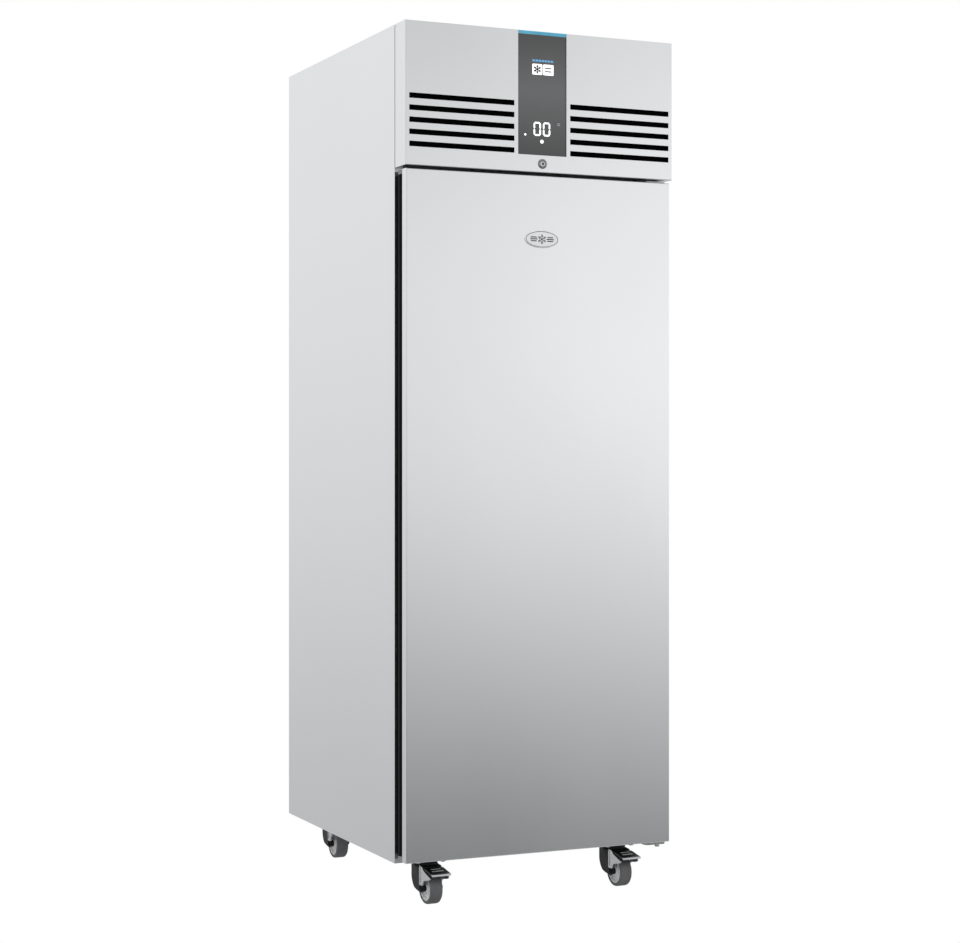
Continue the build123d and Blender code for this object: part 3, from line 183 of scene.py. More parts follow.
def addTube(bm, route, radius, sides=10):
    turns = [2 * pi * i / sides for i in range(sides)]
    rings, across = [], None
    for k, point in enumerate(route):
        before = route[k - 1] if k else point
        after = route[k + 1] if k + 1 < len(route) else point
        along = (after - before).normalized()
        if across is None:
            across = along.orthogonal().normalized()
        across = (across - along * across.dot(along)).normalized()
        up = along.cross(across)
        rings.append([bm.verts.new(point + (across * cos(turn) + up * sin(turn)) * radius) for turn in turns])
    for a, b in zip(rings, rings[1:]):
        for i in range(sides):
            bm.faces.new((a[i], a[(i + 1) % sides], b[(i + 1) % sides], b[i]))
    for end in (rings[0], rings[-1]):
        bm.faces.new(end)


def axisPlace(origin, direction):
    # a matrix whose local Z points along direction
    return Matrix.Translation(Vector(origin)) @ Vector(direction).to_track_quat("Z",
            "Y").to_matrix().to_4x4()


def facePlace(x, y, z):
    # a matrix whose local Z points forward, for flat marks on the front
    return Matrix.Translation((x, y, z)) @ Matrix.Rotation(pi / 2, 4, "X")


# finishes

def freshFinish(name):
    finish = bpy.data.materials.new(name)
    finish.use_nodes = True
    tree = finish.node_tree
    tree.nodes.clear()
    sink = tree.nodes.new("ShaderNodeOutputMaterial")
    shader = tree.nodes.new("ShaderNodeBsdfPrincipled")
    tree.links.new(shader.outputs["BSDF"], sink.inputs["Surface"])
    return finish, tree, shader


def grainField(tree, stretch, scale, detail=3.0, roughness=0.55):
    # noise on object coordinates, stretched along chosen axes
    coords = tree.nodes.new("ShaderNodeTexCoord")
    mapping = tree.nodes.new("ShaderNodeMapping")
    mapping.inputs["Scale"].default_value = stretch
    noise = tree.nodes.new("ShaderNodeTexNoise")
    noise.inputs["Scale"].default_value = scale
    noise.inputs["Detail"].default_value = detail
    noise.inputs["Roughness"].default_value = roughness
    tree.links.new(coords.outputs["Object"], mapping.inputs["Vector"])
    tree.links.new(mapping.outputs["Vector"], noise.inputs["Vector"])
    return noise.outputs[0]


def spread(tree, value, low, high, fromLow=0.3, fromHigh=0.7):
    node = tree.nodes.new("ShaderNodeMapRange")
    node.inputs["From Min"].default_value = fromLow
    node.inputs["From Max"].default_value = fromHigh
    node.inputs["To Min"].default_value = low
    node.inputs["To Max"].default_value = high
    tree.links.new(value, node.inputs["Value"])
    return node.outputs["Result"]


def twoTone(tree, value, toneA, toneB):
    node = tree.nodes.new("ShaderNodeMix")
    node.data_type = "RGBA"
    node.inputs[6].default_value = (*toneA, 1)
    node.inputs[7].default_value = (*toneB, 1)
    tree.links.new(value, node.inputs[0])
    return node.outputs[2]


def reckon(tree, kind, *values):
    # one math node, whose inputs are sockets or plain numbers
    made = tree.nodes.new("ShaderNodeMath")
    made.operation = kind
    for k, value in enumerate(values):
        if isinstance(value, bpy.types.NodeSocket):
            tree.links.new(value, made.inputs[k])
        else:
            made.inputs[k].default_value = value
    return made.outputs[0]


def addTogether(tree, valueA, valueB, weight):
    return reckon(tree, "MULTIPLY_ADD", valueB, weight, valueA)


def paint(tree, shader, field, toneA, toneB, fromLow=0.3, fromHigh=0.7):
    tone = twoTone(tree, spread(tree, field, 0, 1, fromLow, fromHigh), toneA, toneB)
    tree.links.new(tone, shader.inputs["Base Color"])


def roughen(tree, shader, field, low, high, fromLow=0.3, fromHigh=0.7):
    tree.links.new(spread(tree, field, low, high, fromLow, fromHigh), shader.inputs["Roughness"])


def cellField(tree, scale):
    coords = tree.nodes.new("ShaderNodeTexCoord")
    cells = tree.nodes.new("ShaderNodeTexVoronoi")
    cells.inputs["Scale"].default_value = scale
    tree.links.new(coords.outputs["Object"], cells.inputs["Vector"])
    return cells


def bumpOn(tree, shader, height, strength, distance):
    bump = tree.nodes.new("ShaderNodeBump")
    bump.inputs["Strength"].default_value = strength
    bump.inputs["Distance"].default_value = distance
    tree.links.new(height, bump.inputs["Height"])
    tree.links.new(bump.outputs["Normal"], shader.inputs["Normal"])


steelLook = {
    "grainFine": 900.0,       # lines across one metre
    "grainLong": 5.0,
    "toneSpread": 0.009,
    "roughLow": 0.22,
    "roughHigh": 0.245,
    "bump": 0.008,
}


def brushedSteel(name, tone, grainAlong="Z", rough=0.0, look=steelLook):
    finish, tree, shader = freshFinish(name)
    stretch = [look["grainFine"]] * 3
    stretch["XYZ".index(grainAlong)] = look["grainLong"]
    grain = grainField(tree, stretch, 1.0, 4.0, 0.6)
    cloud = grainField(tree, (1.0, 1.0, 0.55), 2.6, 2.0, 0.5)
    both = addTogether(tree, spread(tree, cloud, -0.25, 0.25), grain, 0.9)
    dark = [c * (1 - look["toneSpread"]) for c in tone]
    light = [c * (1 + look["toneSpread"]) for c in tone]
    paint(tree, shader, both, dark, light, 0.2, 0.8)
    roughen(tree, shader, both, look["roughLow"] + rough, look["roughHigh"] + rough)
    shader.inputs["Metallic"].default_value = 1.0
    bumpOn(tree, shader, grain, look["bump"], 0.0002)
    return finish


def zincSpangle(name, toneDark, toneLight, rough=0.38):
    # crystals of hot-dip zinc under a faint mill grain
    finish, tree, shader = freshFinish(name)
    cells = cellField(tree, 85.0)
    split = tree.nodes.new("ShaderNodeSeparateColor")
    tree.links.new(cells.outputs["Color"], split.inputs["Color"])
    grain = grainField(tree, (1, 1, 1), 240.0, 3.0)
    both = addTogether(tree, split.outputs["Red"], grain, 0.35)
    paint(tree, shader, both, toneDark, toneLight, 0.1, 1.2)
    roughen(tree, shader, both, rough - 0.06, rough + 0.1, 0.1, 1.2)
    shader.inputs["Metallic"].default_value = 0.9
    bumpOn(tree, shader, grain, 0.06, 0.0003)
    return finish


def mouldedPlastic(name, toneDark, toneLight, rough=0.45, grainScale=900.0, bump=0.12, gloss=0.5):
    # fine spark-eroded grain with a slow change of tone
    finish, tree, shader = freshFinish(name)
    grain = grainField(tree, (1, 1, 1), grainScale, 2.0)
    cloud = grainField(tree, (1, 1, 1), 14.0, 3.0)
    paint(tree, shader, cloud, toneDark, toneLight)
    roughen(tree, shader, addTogether(tree, cloud, grain, 0.5), rough - 0.05, rough + 0.08, 0.4, 1.1)
    shader.inputs["Specular IOR Level"].default_value = gloss
    bumpOn(tree, shader, grain, bump, 0.0002)
    return finish


def platedMetal(name, toneDark, toneLight, rough=0.3, grainScale=160.0, metallic=1.0):
    # zinc or nickel plate: soft blotches, light handling marks
    finish, tree, shader = freshFinish(name)
    blotch = grainField(tree, (1, 1, 1), grainScale, 4.0)
    marks = grainField(tree, (1, 1, 6), 420.0, 2.0)
    both = addTogether(tree, blotch, marks, 0.4)
    paint(tree, shader, both, toneDark, toneLight, 0.4, 1.0)
    roughen(tree, shader, both, rough - 0.06, rough + 0.1, 0.4, 1.0)
    shader.inputs["Metallic"].default_value = metallic
    bumpOn(tree, shader, marks, 0.05, 0.0002)
    return finish


def rubberSkin(name, toneDark, toneLight, rough=0.62):
    finish, tree, shader = freshFinish(name)
    grain = grainField(tree, (1, 1, 1), 520.0, 3.0)
    cloud = grainField(tree, (1, 1, 1), 30.0, 3.0)
    paint(tree, shader, cloud, toneDark, toneLight)
    roughen(tree, shader, grain, rough - 0.06, rough + 0.08)
    bumpOn(tree, shader, grain, 0.18, 0.0003)
    return finish


def foamCore(name):
    # rigid polyurethane: pale yellow with open cells where it was cut
    finish, tree, shader = freshFinish(name)
    cells = cellField(tree, 420.0)
    cloud = grainField(tree, (1, 1, 1), 9.0, 3.0)
    both = addTogether(tree, cloud, cells.outputs["Distance"], 0.4)
    paint(tree, shader, both, (0.62, 0.5, 0.28), (0.84, 0.75, 0.5), 0.3, 0.9)
    roughen(tree, shader, both, 0.78, 0.95, 0.3, 0.9)
    bumpOn(tree, shader, cells.outputs["Distance"], 0.35, 0.0006)
    return finish


def glowing(name, toneDark, toneLight, strength, alongZ=20.0):
    # lit symbols and light strip, with a slightly uneven backlight
    finish, tree, shader = freshFinish(name)
    cloud = grainField(tree, (18, 1, alongZ), 1.0, 2.0)
    tone = twoTone(tree, spread(tree, cloud, 0, 1), toneDark, toneLight)
    tree.links.new(tone, shader.inputs["Base Color"])
    tree.links.new(tone, shader.inputs["Emission Color"])
    shader.inputs["Emission Strength"].default_value = strength
    roughen(tree, shader, cloud, 0.25, 0.4)
    return finish


def displayGlassFinish():
    # smoked acrylic, a little lighter about its middle where the backlight reaches
    finish, tree, shader = freshFinish("smokedDisplayGlass")
    low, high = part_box("display_panel")
    coords = tree.nodes.new("ShaderNodeTexCoord")
    split = tree.nodes.new("ShaderNodeSeparateXYZ")
    tree.links.new(coords.outputs["Object"], split.inputs["Vector"])
    cloud = grainField(tree, (1, 1, 1), 40.0, 2.0)
    centre = low.z + (high.z - low.z) * 0.54
    rising = spread(tree, split.outputs["Z"], 0.0, 1.0, low.z, centre)
    falling = spread(tree, split.outputs["Z"], 1.0, 0.15, centre, high.z)
    lit = addTogether(tree, reckon(tree, "MINIMUM", rising, falling), cloud, 0.1)
    paint(tree, shader, lit, (0.04, 0.04, 0.041), (0.128, 0.129, 0.131), 0.0, 1.0)
    roughen(tree, shader, cloud, 0.16, 0.22)
    shader.inputs["Coat Weight"].default_value = 0.5
    shader.inputs["Coat Roughness"].default_value = 0.08
    return finish


def finCloth(name, finsAlong="X", pitch=380.0):
    # stacked aluminium fins seen edge on, light bands with painted shade in the gaps between them
    finish, tree, shader = freshFinish(name)
    coords = tree.nodes.new("ShaderNodeTexCoord")
    wave = tree.nodes.new("ShaderNodeTexWave")
    wave.bands_direction = finsAlong
    wave.inputs["Scale"].default_value = pitch / 2
    tree.links.new(coords.outputs["Object"], wave.inputs["Vector"])
    cloud = grainField(tree, (1, 1, 1), 30.0, 3.0)
    both = addTogether(tree, wave.outputs["Fac"], cloud, 0.4)
    paint(tree, shader, both, (0.2, 0.205, 0.21), (0.68, 0.69, 0.7), 0.2, 1.2)
    roughen(tree, shader, both, 0.3, 0.45, 0.2, 1.2)
    shader.inputs["Metallic"].default_value = 0.95
    bumpOn(tree, shader, wave.outputs["Fac"], 0.4, 0.001)
    return finish


caseSteel = brushedSteel("satinCaseSteel", (0.80, 0.81, 0.82))
doorSteel = brushedSteel("satinDoorSteel", (0.80, 0.805, 0.812))
faciaSteel = brushedSteel("satinFaciaSteel", (0.80, 0.806, 0.812))
linerSteel = brushedSteel("satinLinerSteel", (0.74, 0.75, 0.76), "Z", 0.04)
# painted shade: the hinges take a darker copy of the case steel, standing for the shade under the door
hingeShadeSteel = brushedSteel("satinHingeSteel", (0.5, 0.505, 0.51), "X", 0.05)
galvanised = zincSpangle("spangledZincSheet", (0.5, 0.52, 0.535), (0.64, 0.66, 0.67))
slideSteel = zincSpangle("brightZincSlides", (0.52, 0.53, 0.54), (0.7, 0.71, 0.72), 0.3)
framePlastic = mouldedPlastic("darkBreakerPlastic", (0.13, 0.132, 0.136), (0.18, 0.182, 0.187), 0.5)
handlePlastic = mouldedPlastic("blackHandlePlastic", (0.0135, 0.0155, 0.0155), (0.0165, 0.0185, 0.0185),
                               0.72, 900.0, 0.02, 0.1)
capPlastic = mouldedPlastic("greyCapPlastic", (0.22, 0.222, 0.226), (0.27, 0.272, 0.277), 0.5)
blackPlastic = mouldedPlastic("blackMouldedPlastic", (0.02, 0.02, 0.022), (0.035, 0.035, 0.038), 0.5)
hubPlastic = mouldedPlastic("greyHubNylon", (0.80, 0.805, 0.81), (0.88, 0.885, 0.89), 0.42, 500.0)
gasketRubber = rubberSkin("greyGasketRubber", (0.1, 0.102, 0.106), (0.15, 0.152, 0.157), 0.55)
tyreRubber = rubberSkin("castorTyreRubber", (0.115, 0.116, 0.119), (0.155, 0.156, 0.159), 0.6)
# painted shade: a near-black baffle, a guessed part, sits behind the facia slots and stands for the shade
# inside them
slotBaffleShade = mouldedPlastic("sootBlackBaffle", (0.0012, 0.0012, 0.0013), (0.0022, 0.0022, 0.0024), 0.9,
                           900.0, 0.02, 0.02)
# painted shade: the lock bezel takes a darker copy of the lock's nickel
shadedLockNickel = platedMetal("shadedNickelRing", (0.2, 0.205, 0.21), (0.4, 0.405, 0.41), 0.3)
# painted shade: near-black fork finish for the crown, aprons, axle ends and castor plates, standing for the
# shadow under the cabinet
forkShadeBlack = mouldedPlastic("blackenedForkSteel", (0.0065, 0.007, 0.0075), (0.013, 0.0135, 0.014), 0.5,
                           500.0, 0.05, 0.25)
mountRubber = rubberSkin("blackMountRubber", (0.02, 0.02, 0.02), (0.035, 0.035, 0.036), 0.7)
brightZinc = platedMetal("brightZincPlate", (0.56, 0.57, 0.58), (0.74, 0.75, 0.76), 0.34)
# dark zinc for the fan motors and unlisted small parts; on the pedal lever it is painted shade, a dark copy
# of the bright tread
darkZincAndShade = platedMetal("blackenedZincPlate", (0.02, 0.021, 0.023), (0.05, 0.052, 0.055), 0.42, 160.0, 0.6)
nickelPlate = platedMetal("brushedNickelLock", (0.5, 0.505, 0.51), (0.72, 0.72, 0.72), 0.22)
shelfWire = platedMetal("coatedShelfWire", (0.6, 0.61, 0.62), (0.72, 0.73, 0.74), 0.3, 90.0, 0.85)
copperPipe = platedMetal("brazedCopperPipe", (0.42, 0.17, 0.085), (0.78, 0.4, 0.25), 0.32, 28.0)
finAluminium = platedMetal("thinFinAluminium", (0.6, 0.61, 0.62), (0.74, 0.75, 0.76), 0.32, 60.0)
compressorPaint = mouldedPlastic("blackCompressorEnamel", (0.013, 0.013, 0.015), (0.028, 0.028, 0.031),
                                 0.32, 240.0, 0.15)
badgeWhite = mouldedPlastic("whiteBadgeLacquer", (0.9, 0.905, 0.91), (0.97, 0.972, 0.975), 0.3, 300.0, 0.01)
# dark ink for the badge and display marks; on the lock it is painted shade for the keyway
markInkAndKeywayShade = mouldedPlastic("darkBadgeInk", (0.016, 0.017, 0.018), (0.03, 0.031, 0.033), 0.45)
whiteGlow = glowing("whiteDisplayGlow", (0.82, 0.84, 0.86), (1.0, 1.0, 1.0), 1.0)
greyGlow = glowing("dimDisplayMark", (0.22, 0.225, 0.23), (0.3, 0.305, 0.31), 0.5)
blueGlow = glowing("blueDisplayGlow", (0.06, 0.22, 0.4), (0.1, 0.29, 0.5), 0.75)
stripGlow = glowing("blueLightStrip", (0.038, 0.2, 0.29), (0.064, 0.26, 0.365), 0.8)
foam = foamCore("rigidInsulationFoam")
smokedGlass = displayGlassFinish()
evaporatorFinShade = finCloth("frostedEvaporatorFins")
print("finishes made")

# each node that keeps its own shape takes one of the finishes above
nodeFinishes = {
    "outer_case": caseSteel, "top_cover": galvanised, "base_panel": galvanised, "rear_grille": galvanised,
    "cabinet_insulation": foam, "door_insulation": foam, "inner_liner": linerSteel,
    "front_frame": framePlastic,
    "rack_uprights": linerSteel, "shelf_slides": slideSteel, "rear_air_duct": linerSteel,
    "wire_shelves": shelfWire,
    "unit_tray": galvanised, "condenser_coil": finAluminium, "air_filter": blackPlastic,
    "fan_shroud": galvanised,
    "condenser_fan": blackPlastic, "condenser_fan_motor": darkZincAndShade, "compressor_mounts": mountRubber,
    "compressor": compressorPaint, "evaporator_housing": galvanised, "evaporator_coil": evaporatorFinShade,
    "evaporator_fan": blackPlastic, "evaporator_fan_motor": darkZincAndShade, "pipework": copperPipe,
    "control_box": framePlastic, "mains_gland": blackPlastic, "upper_hinge": hingeShadeSteel,
    "lower_hinge": hingeShadeSteel,
    "facia_hinge_pins": brightZinc, "facia_panel": faciaSteel, "display_panel": smokedGlass,
    "display_light_strip": stripGlow, "display_controller": blackPlastic, "lock_housing": nickelPlate,
    "lock_barrel": nickelPlate, "lock_cam": brightZinc, "door_outer_skin": doorSteel,
    "door_inner_liner": linerSteel,
    "door_hinge_bushes": capPlastic, "door_gasket": gasketRubber, "door_handle": handlePlastic,
    "handle_end_caps": capPlastic, "door_badge": badgeWhite, "castor_plates": forkShadeBlack,
    # the slot baffles take the near-black painted shade
    "slot_baffles": slotBaffleShade,
}
for name, piece in nodes.items():
    finish = nodeFinishes.get(name)
    if finish is None:
        finish = tyreRubber if "tyre" in name else hubPlastic if "hub" in name else darkZincAndShade
    piece.data.materials.clear()
    piece.data.materials.append(finish)
print("node finishes set")


# geometry node trees for what repeats

def startTree(name, sockets):
    tree = bpy.data.node_groups.new(name, "GeometryNodeTree")
    tree.interface.new_socket(name="Geometry", in_out="INPUT", socket_type="NodeSocketGeometry")
    for label, kind, value in sockets:
        socket = tree.interface.new_socket(name=label, in_out="INPUT", socket_type="NodeSocket" + kind)
        if value is not None:
            socket.default_value = value
    tree.interface.new_socket(name="Geometry", in_out="OUTPUT", socket_type="NodeSocketGeometry")
    return tree, tree.nodes.new("NodeGroupInput"), tree.nodes.new("NodeGroupOutput")


def node(tree, kind, links=None, **values):
    # adds a node, sets plain properties, joins or sets its inputs by socket name or number
    made = tree.nodes.new("GeometryNode" + kind if not kind.startswith(("Shader", "Function")) else kind)
    for key, value in values.items():
        setattr(made, key, value)
    for key, value in (links or {}).items():
        socket = made.inputs[key]
        if isinstance(value, bpy.types.NodeSocket):
            tree.links.new(value, socket)
        else:
            socket.default_value = value
    return made


def endTree(tree, source, sink, geometry):
    solid = node(tree, "RealizeInstances", {0: geometry})
    painted = node(tree, "SetMaterial",
                   {"Geometry": solid.outputs[0], "Material": source.outputs["Finish"]})
    tree.links.new(painted.outputs[0], sink.inputs[0])
    return tree


def grow(name, points, tree, values, normals=None):
    # runs a tree on a cloud of points and hands back the plain mesh
    mesh = bpy.data.meshes.new(name + "Points")
    mesh.from_pydata([tuple(point) for point in points], [], [])
    if normals:
        facing = mesh.attributes.new("facing", "FLOAT_VECTOR", "POINT")
        facing.data.foreach_set("vector", [c for normal in normals for c in normal])
    holder = bpy.data.objects.new(name + "Holder", mesh)
    bpy.context.collection.objects.link(holder)
    modifier = holder.modifiers.new("grow", "NODES")
    modifier.node_group = tree
    for item in tree.interface.items_tree:
        if item.item_type == "SOCKET" and item.in_out == "INPUT" and item.name in values:
            modifier[item.identifier] = values[item.name]
    bpy.context.view_layer.update()
    grown = bpy.data.meshes.new_from_object(holder.evaluated_get(bpy.context.evaluated_depsgraph_get()))
    bpy.data.objects.remove(holder)
    return grown


def makeScrewTree():
    tree, source, sink = startTree("screwHeads",
                                   [("Pattern", "Object", None), ("Size", "Float", 1.0), ("Turn", "Int", 7),
                                    ("Finish", "Material", None)])
    pattern = node(tree, "ObjectInfo", {"Object": source.outputs["Pattern"]})
    facing = node(tree, "InputNamedAttribute", {"Name": "facing"}, data_type="FLOAT_VECTOR")
    aim = node(tree, "FunctionNodeAlignRotationToVector", {"Vector": facing.outputs[0]}, axis="Z")
    twist = node(tree, "FunctionNodeRandomValue", {"Seed": source.outputs["Turn"]}, data_type="FLOAT")
    twist.inputs[3].default_value = 6.28
    spin = node(tree, "FunctionNodeAxisAngleToRotation", {"Axis": (0, 0, 1), "Angle": twist.outputs[1]})
    both = node(tree, "FunctionNodeRotateRotation", {0: aim.outputs[0], 1: spin.outputs[0]},
                rotation_space="LOCAL")
    placed = node(tree, "InstanceOnPoints",
                  {"Points": source.outputs["Geometry"], "Instance": pattern.outputs["Geometry"],
                                            "Rotation": both.outputs[0], "Scale": source.outputs["Size"]})
    return endTree(tree, source, sink, placed.outputs[0])


def screwPattern(name, radius, height, socket, sides, socketSides=6):
    # one head with a driven recess, standing on local Z
    bm = bmesh.new()

    def circle(r, h, count):
        turns = [2 * pi * k / count for k in range(count)]
        return [bm.verts.new((r * cos(turn), r * sin(turn), h)) for turn in turns]

    rings = [circle(radius * a, height * b, sides) for a,
             b in ((1.0, 0.0), (1.0, 0.35), (0.86, 0.8), (0.6, 1.0))]
    for low, high in zip(rings, rings[1:]):
        for k in range(sides):
            bm.faces.new((low[k], low[(k + 1) % sides], high[(k + 1) % sides], high[k]))
    bm.faces.new(rings[0][::-1])
    step = sides // socketSides
    rim = circle(socket, height, socketSides)
    pit = circle(socket * 0.96, height * 0.3, socketSides)
    for k in range(socketSides):
        n = (k + 1) % socketSides
        run = [rings[-1][(k * step + i) % sides] for i in range(step + 1)]
        bm.faces.new((*run, rim[n], rim[k]))
        bm.faces.new((rim[k], rim[n], pit[n], pit[k]))
    bm.faces.new(pit)
    bmesh.ops.recalc_face_normals(bm, faces=bm.faces)
    mesh = bpy.data.meshes.new(name)
    bm.to_mesh(mesh)
    bm.free()
    pattern = bpy.data.objects.new(name, mesh)
    bpy.context.collection.objects.link(pattern)
    return pattern


def makeRackTree():
    # bars run front to back, cross bars lie under them, a heavier frame goes round
    tree, source, sink = startTree("wireRack", [
        ("Width", "Float", 0.5), ("Depth", "Float", 0.6), ("Bars", "Int", 20), ("Cross Bars", "Int", 4),
        ("Bar Radius", "Float", 0.0015), ("Frame Radius", "Float", 0.003), ("Corner", "Float", 0.015),
        ("Finish", "Material", None)])
    width, depth = source.outputs["Width"], source.outputs["Depth"]
    parts = []
    layers = (("Bars", width, depth, 0, 1.0), ("Cross Bars", depth, width, 1, -0.6))
    for count, span, length, axis, drop in layers:
        half = node(tree, "ShaderNodeMath", {0: span, 1: -0.5}, operation="MULTIPLY")
        plus = node(tree, "ShaderNodeMath", {0: source.outputs[count], 1: 1.0}, operation="ADD")
        gap = node(tree, "ShaderNodeMath", {0: span, 1: plus.outputs[0]}, operation="DIVIDE")
        first = node(tree, "ShaderNodeMath", {0: half.outputs[0], 1: gap.outputs[0]}, operation="ADD")
        rise = node(tree, "ShaderNodeMath", {0: source.outputs["Bar Radius"], 1: drop},
                    operation="MULTIPLY")
        start = node(tree, "ShaderNodeCombineXYZ", {axis: first.outputs[0], 2: rise.outputs[0]})
        offset = node(tree, "ShaderNodeCombineXYZ", {axis: gap.outputs[0]})
        line = node(tree, "MeshLine",
                    {"Count": source.outputs[count], "Start Location": start.outputs[0],
                     "Offset": offset.outputs[0]})
        bar = node(tree, "MeshCylinder",
                   {"Vertices": 8, "Radius": source.outputs["Bar Radius"], "Depth": length})
        turn = (pi / 2, 0, 0) if axis == 0 else (0, pi / 2, 0)
        parts.append(node(tree, "InstanceOnPoints",
                          {"Points": line.outputs[0], "Instance": bar.outputs[0],
                           "Rotation": turn}).outputs[0])
    ring = node(tree, "CurvePrimitiveQuadrilateral", {"Width": width, "Height": depth})
    soft = node(tree, "FilletCurve", {0: ring.outputs[0]}, mode="POLY")
    soft.inputs["Count"].default_value = 5
    tree.links.new(source.outputs["Corner"], soft.inputs["Radius"])
    section = node(tree, "CurvePrimitiveCircle",
                   {"Resolution": 10, "Radius": source.outputs["Frame Radius"]})
    frameWire = node(tree, "CurveToMesh", {0: soft.outputs[0], 1: section.outputs[0]})
    joined = node(tree, "JoinGeometry")
    for part in (*parts, frameWire.outputs[0]):
        tree.links.new(part, joined.inputs[0])
    placed = node(tree, "InstanceOnPoints",
                  {"Points": source.outputs["Geometry"], "Instance": joined.outputs[0]})
    return endTree(tree, source, sink, placed.outputs[0])


def makeFinTree():
    # a stack of thin fins, centred on each point
    tree, source, sink = startTree("finStack", [
        ("Length", "Float", 0.26), ("Height", "Float", 0.25), ("Depth", "Float", 0.046),
        ("Fins", "Int", 90), ("Fin Sheet", "Float", 0.0003),
        ("Finish", "Material", None)])
    length = source.outputs["Length"]
    size = node(tree, "ShaderNodeCombineXYZ",
                {0: source.outputs["Fin Sheet"], 1: source.outputs["Depth"], 2: source.outputs["Height"]})
    fin = node(tree, "MeshCube", {"Size": size.outputs[0]})
    start = node(tree, "ShaderNodeMath", {0: length, 1: -0.5}, operation="MULTIPLY")
    less = node(tree, "ShaderNodeMath", {0: source.outputs["Fins"], 1: 1.0}, operation="SUBTRACT")
    gap = node(tree, "ShaderNodeMath", {0: length, 1: less.outputs[0]}, operation="DIVIDE")
    first = node(tree, "ShaderNodeCombineXYZ", {0: start.outputs[0]})
    offset = node(tree, "ShaderNodeCombineXYZ", {0: gap.outputs[0]})
    line = node(tree, "MeshLine", {"Count": source.outputs["Fins"], "Start Location": first.outputs[0],
                                   "Offset": offset.outputs[0]})
    stack = node(tree, "InstanceOnPoints", {"Points": line.outputs[0], "Instance": fin.outputs[0]})
    placed = node(tree, "InstanceOnPoints",
                  {"Points": source.outputs["Geometry"], "Instance": stack.outputs[0]})
    return endTree(tree, source, sink, placed.outputs[0])


screwTree = makeScrewTree()
rackTree = makeRackTree()
finTree = makeFinTree()
print("repeat trees built")

# shelves

shelfSizes = {"bars": 24, "crossBars": 3, "barRadius": 1.5, "frameRadius": 2.9, "corner": 16, "rise": 3.0,
              "count": 3, "pitch": 370, "slideSheet": 2}
low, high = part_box("wire_shelves")
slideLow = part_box("shelf_slides")[0]
shelfLevels = [slideLow.z + (shelfSizes["slideSheet"] + step * shelfSizes["pitch"]) * mm
               for step in range(shelfSizes["count"])]
shelfMesh = grow("wireShelf",
                 [((low.x + high.x) / 2, (low.y + high.y) / 2, level + shelfSizes["rise"] * mm)
                  for level in shelfLevels],
                 rackTree, {
    "Width": high.x - low.x - 2 * shelfSizes["frameRadius"] * mm,
    "Depth": high.y - low.y - 2 * shelfSizes["frameRadius"] * mm,
    "Bars": shelfSizes["bars"], "Cross Bars": shelfSizes["crossBars"],
    "Bar Radius": shelfSizes["barRadius"] * mm,
    "Frame Radius": shelfSizes["frameRadius"] * mm, "Corner": shelfSizes["corner"] * mm,
    "Finish": shelfWire})
keepMesh(shelfMesh, "wire_shelf_set", "cabinet", shelfWire, ["wire_shelves"], 60)
print("shelves wired")

# condenser and evaporator coils

coilSizes = {"fins": 96, "finSheet": 0.3, "tubeRadius": 4.6, "plate": 1.5, "finInset": 2, "rows": 8,
             "rowPitch": 30, "columnPitch": 24}


def makeCoil(name, nodeName, leftOut, finish):
    low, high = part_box(nodeName)
    left, right = low.x + leftOut * mm, high.x
    inset = coilSizes["finInset"] * mm
    fins = grow(name, [((left + right) / 2, (low.y + high.y) / 2, (low.z + high.z) / 2)], finTree, {
        "Length": right - left - 2 * coilSizes["plate"] * mm - mm, "Height": high.z - low.z - 2 * inset,
        "Depth": high.y - low.y - 2 * inset,
        "Fins": coilSizes["fins"], "Fin Sheet": coilSizes["finSheet"] * mm, "Finish": finish})
    bm = bmesh.new()
    bm.from_mesh(fins)
    for x in (left, right - coilSizes["plate"] * mm):
        addBox(bm, (x, low.y, low.z), (x + coilSizes["plate"] * mm, high.y, high.z))
    return bm, left, right, low, high


bm, left, right, low, high = makeCoil("condenserFins", "condenser_coil", 12, finAluminium)
keepPiece(bm, "condenser_fins", "cabinet", finAluminium, ["condenser_coil"], 30)
bm = bmesh.new()
reach = coilSizes["columnPitch"] / 2 * mm
for row in range(coilSizes["rows"]):
    z = (low.z + high.z) / 2 + (row - (coilSizes["rows"] - 1) / 2) * coilSizes["rowPitch"] * mm
    y = (low.y + high.y) / 2
    start = [Vector((right, y - reach, z)), Vector((left, y - reach, z))]
    turn = [Vector((left - reach * sin(pi * k / 10), y - reach * cos(pi * k / 10), z))
            for k in range(1, 10)]
    addTube(bm, start + turn + [Vector((left, y + reach, z)), Vector((right, y + reach, z))],
            coilSizes["tubeRadius"] * mm, 10)
keepPiece(bm, "condenser_tubes", "cabinet", copperPipe, (), 50)

bm, left, right, low, high = makeCoil("evaporatorFins", "evaporator_coil", 0, finAluminium)
keepPiece(bm, "evaporator_fins", "cabinet", finAluminium, ["evaporator_coil"], 30)
print("coils stacked")

# fans: swept, twisted blades on a domed hub

fanSizes = {"blades": 5, "rootTurn": 26, "tipTurn": 25, "sweep": 13, "axialRoot": 8.8, "axialTip": 7.2,
            "camber": 2.2, "sheet": 1.5, "hubWall": 2.4,
            "hub": 28, "boss": 9, "bore": 3.1, "tipGap": 3, "alongBlade": 10, "acrossBlade": 9}


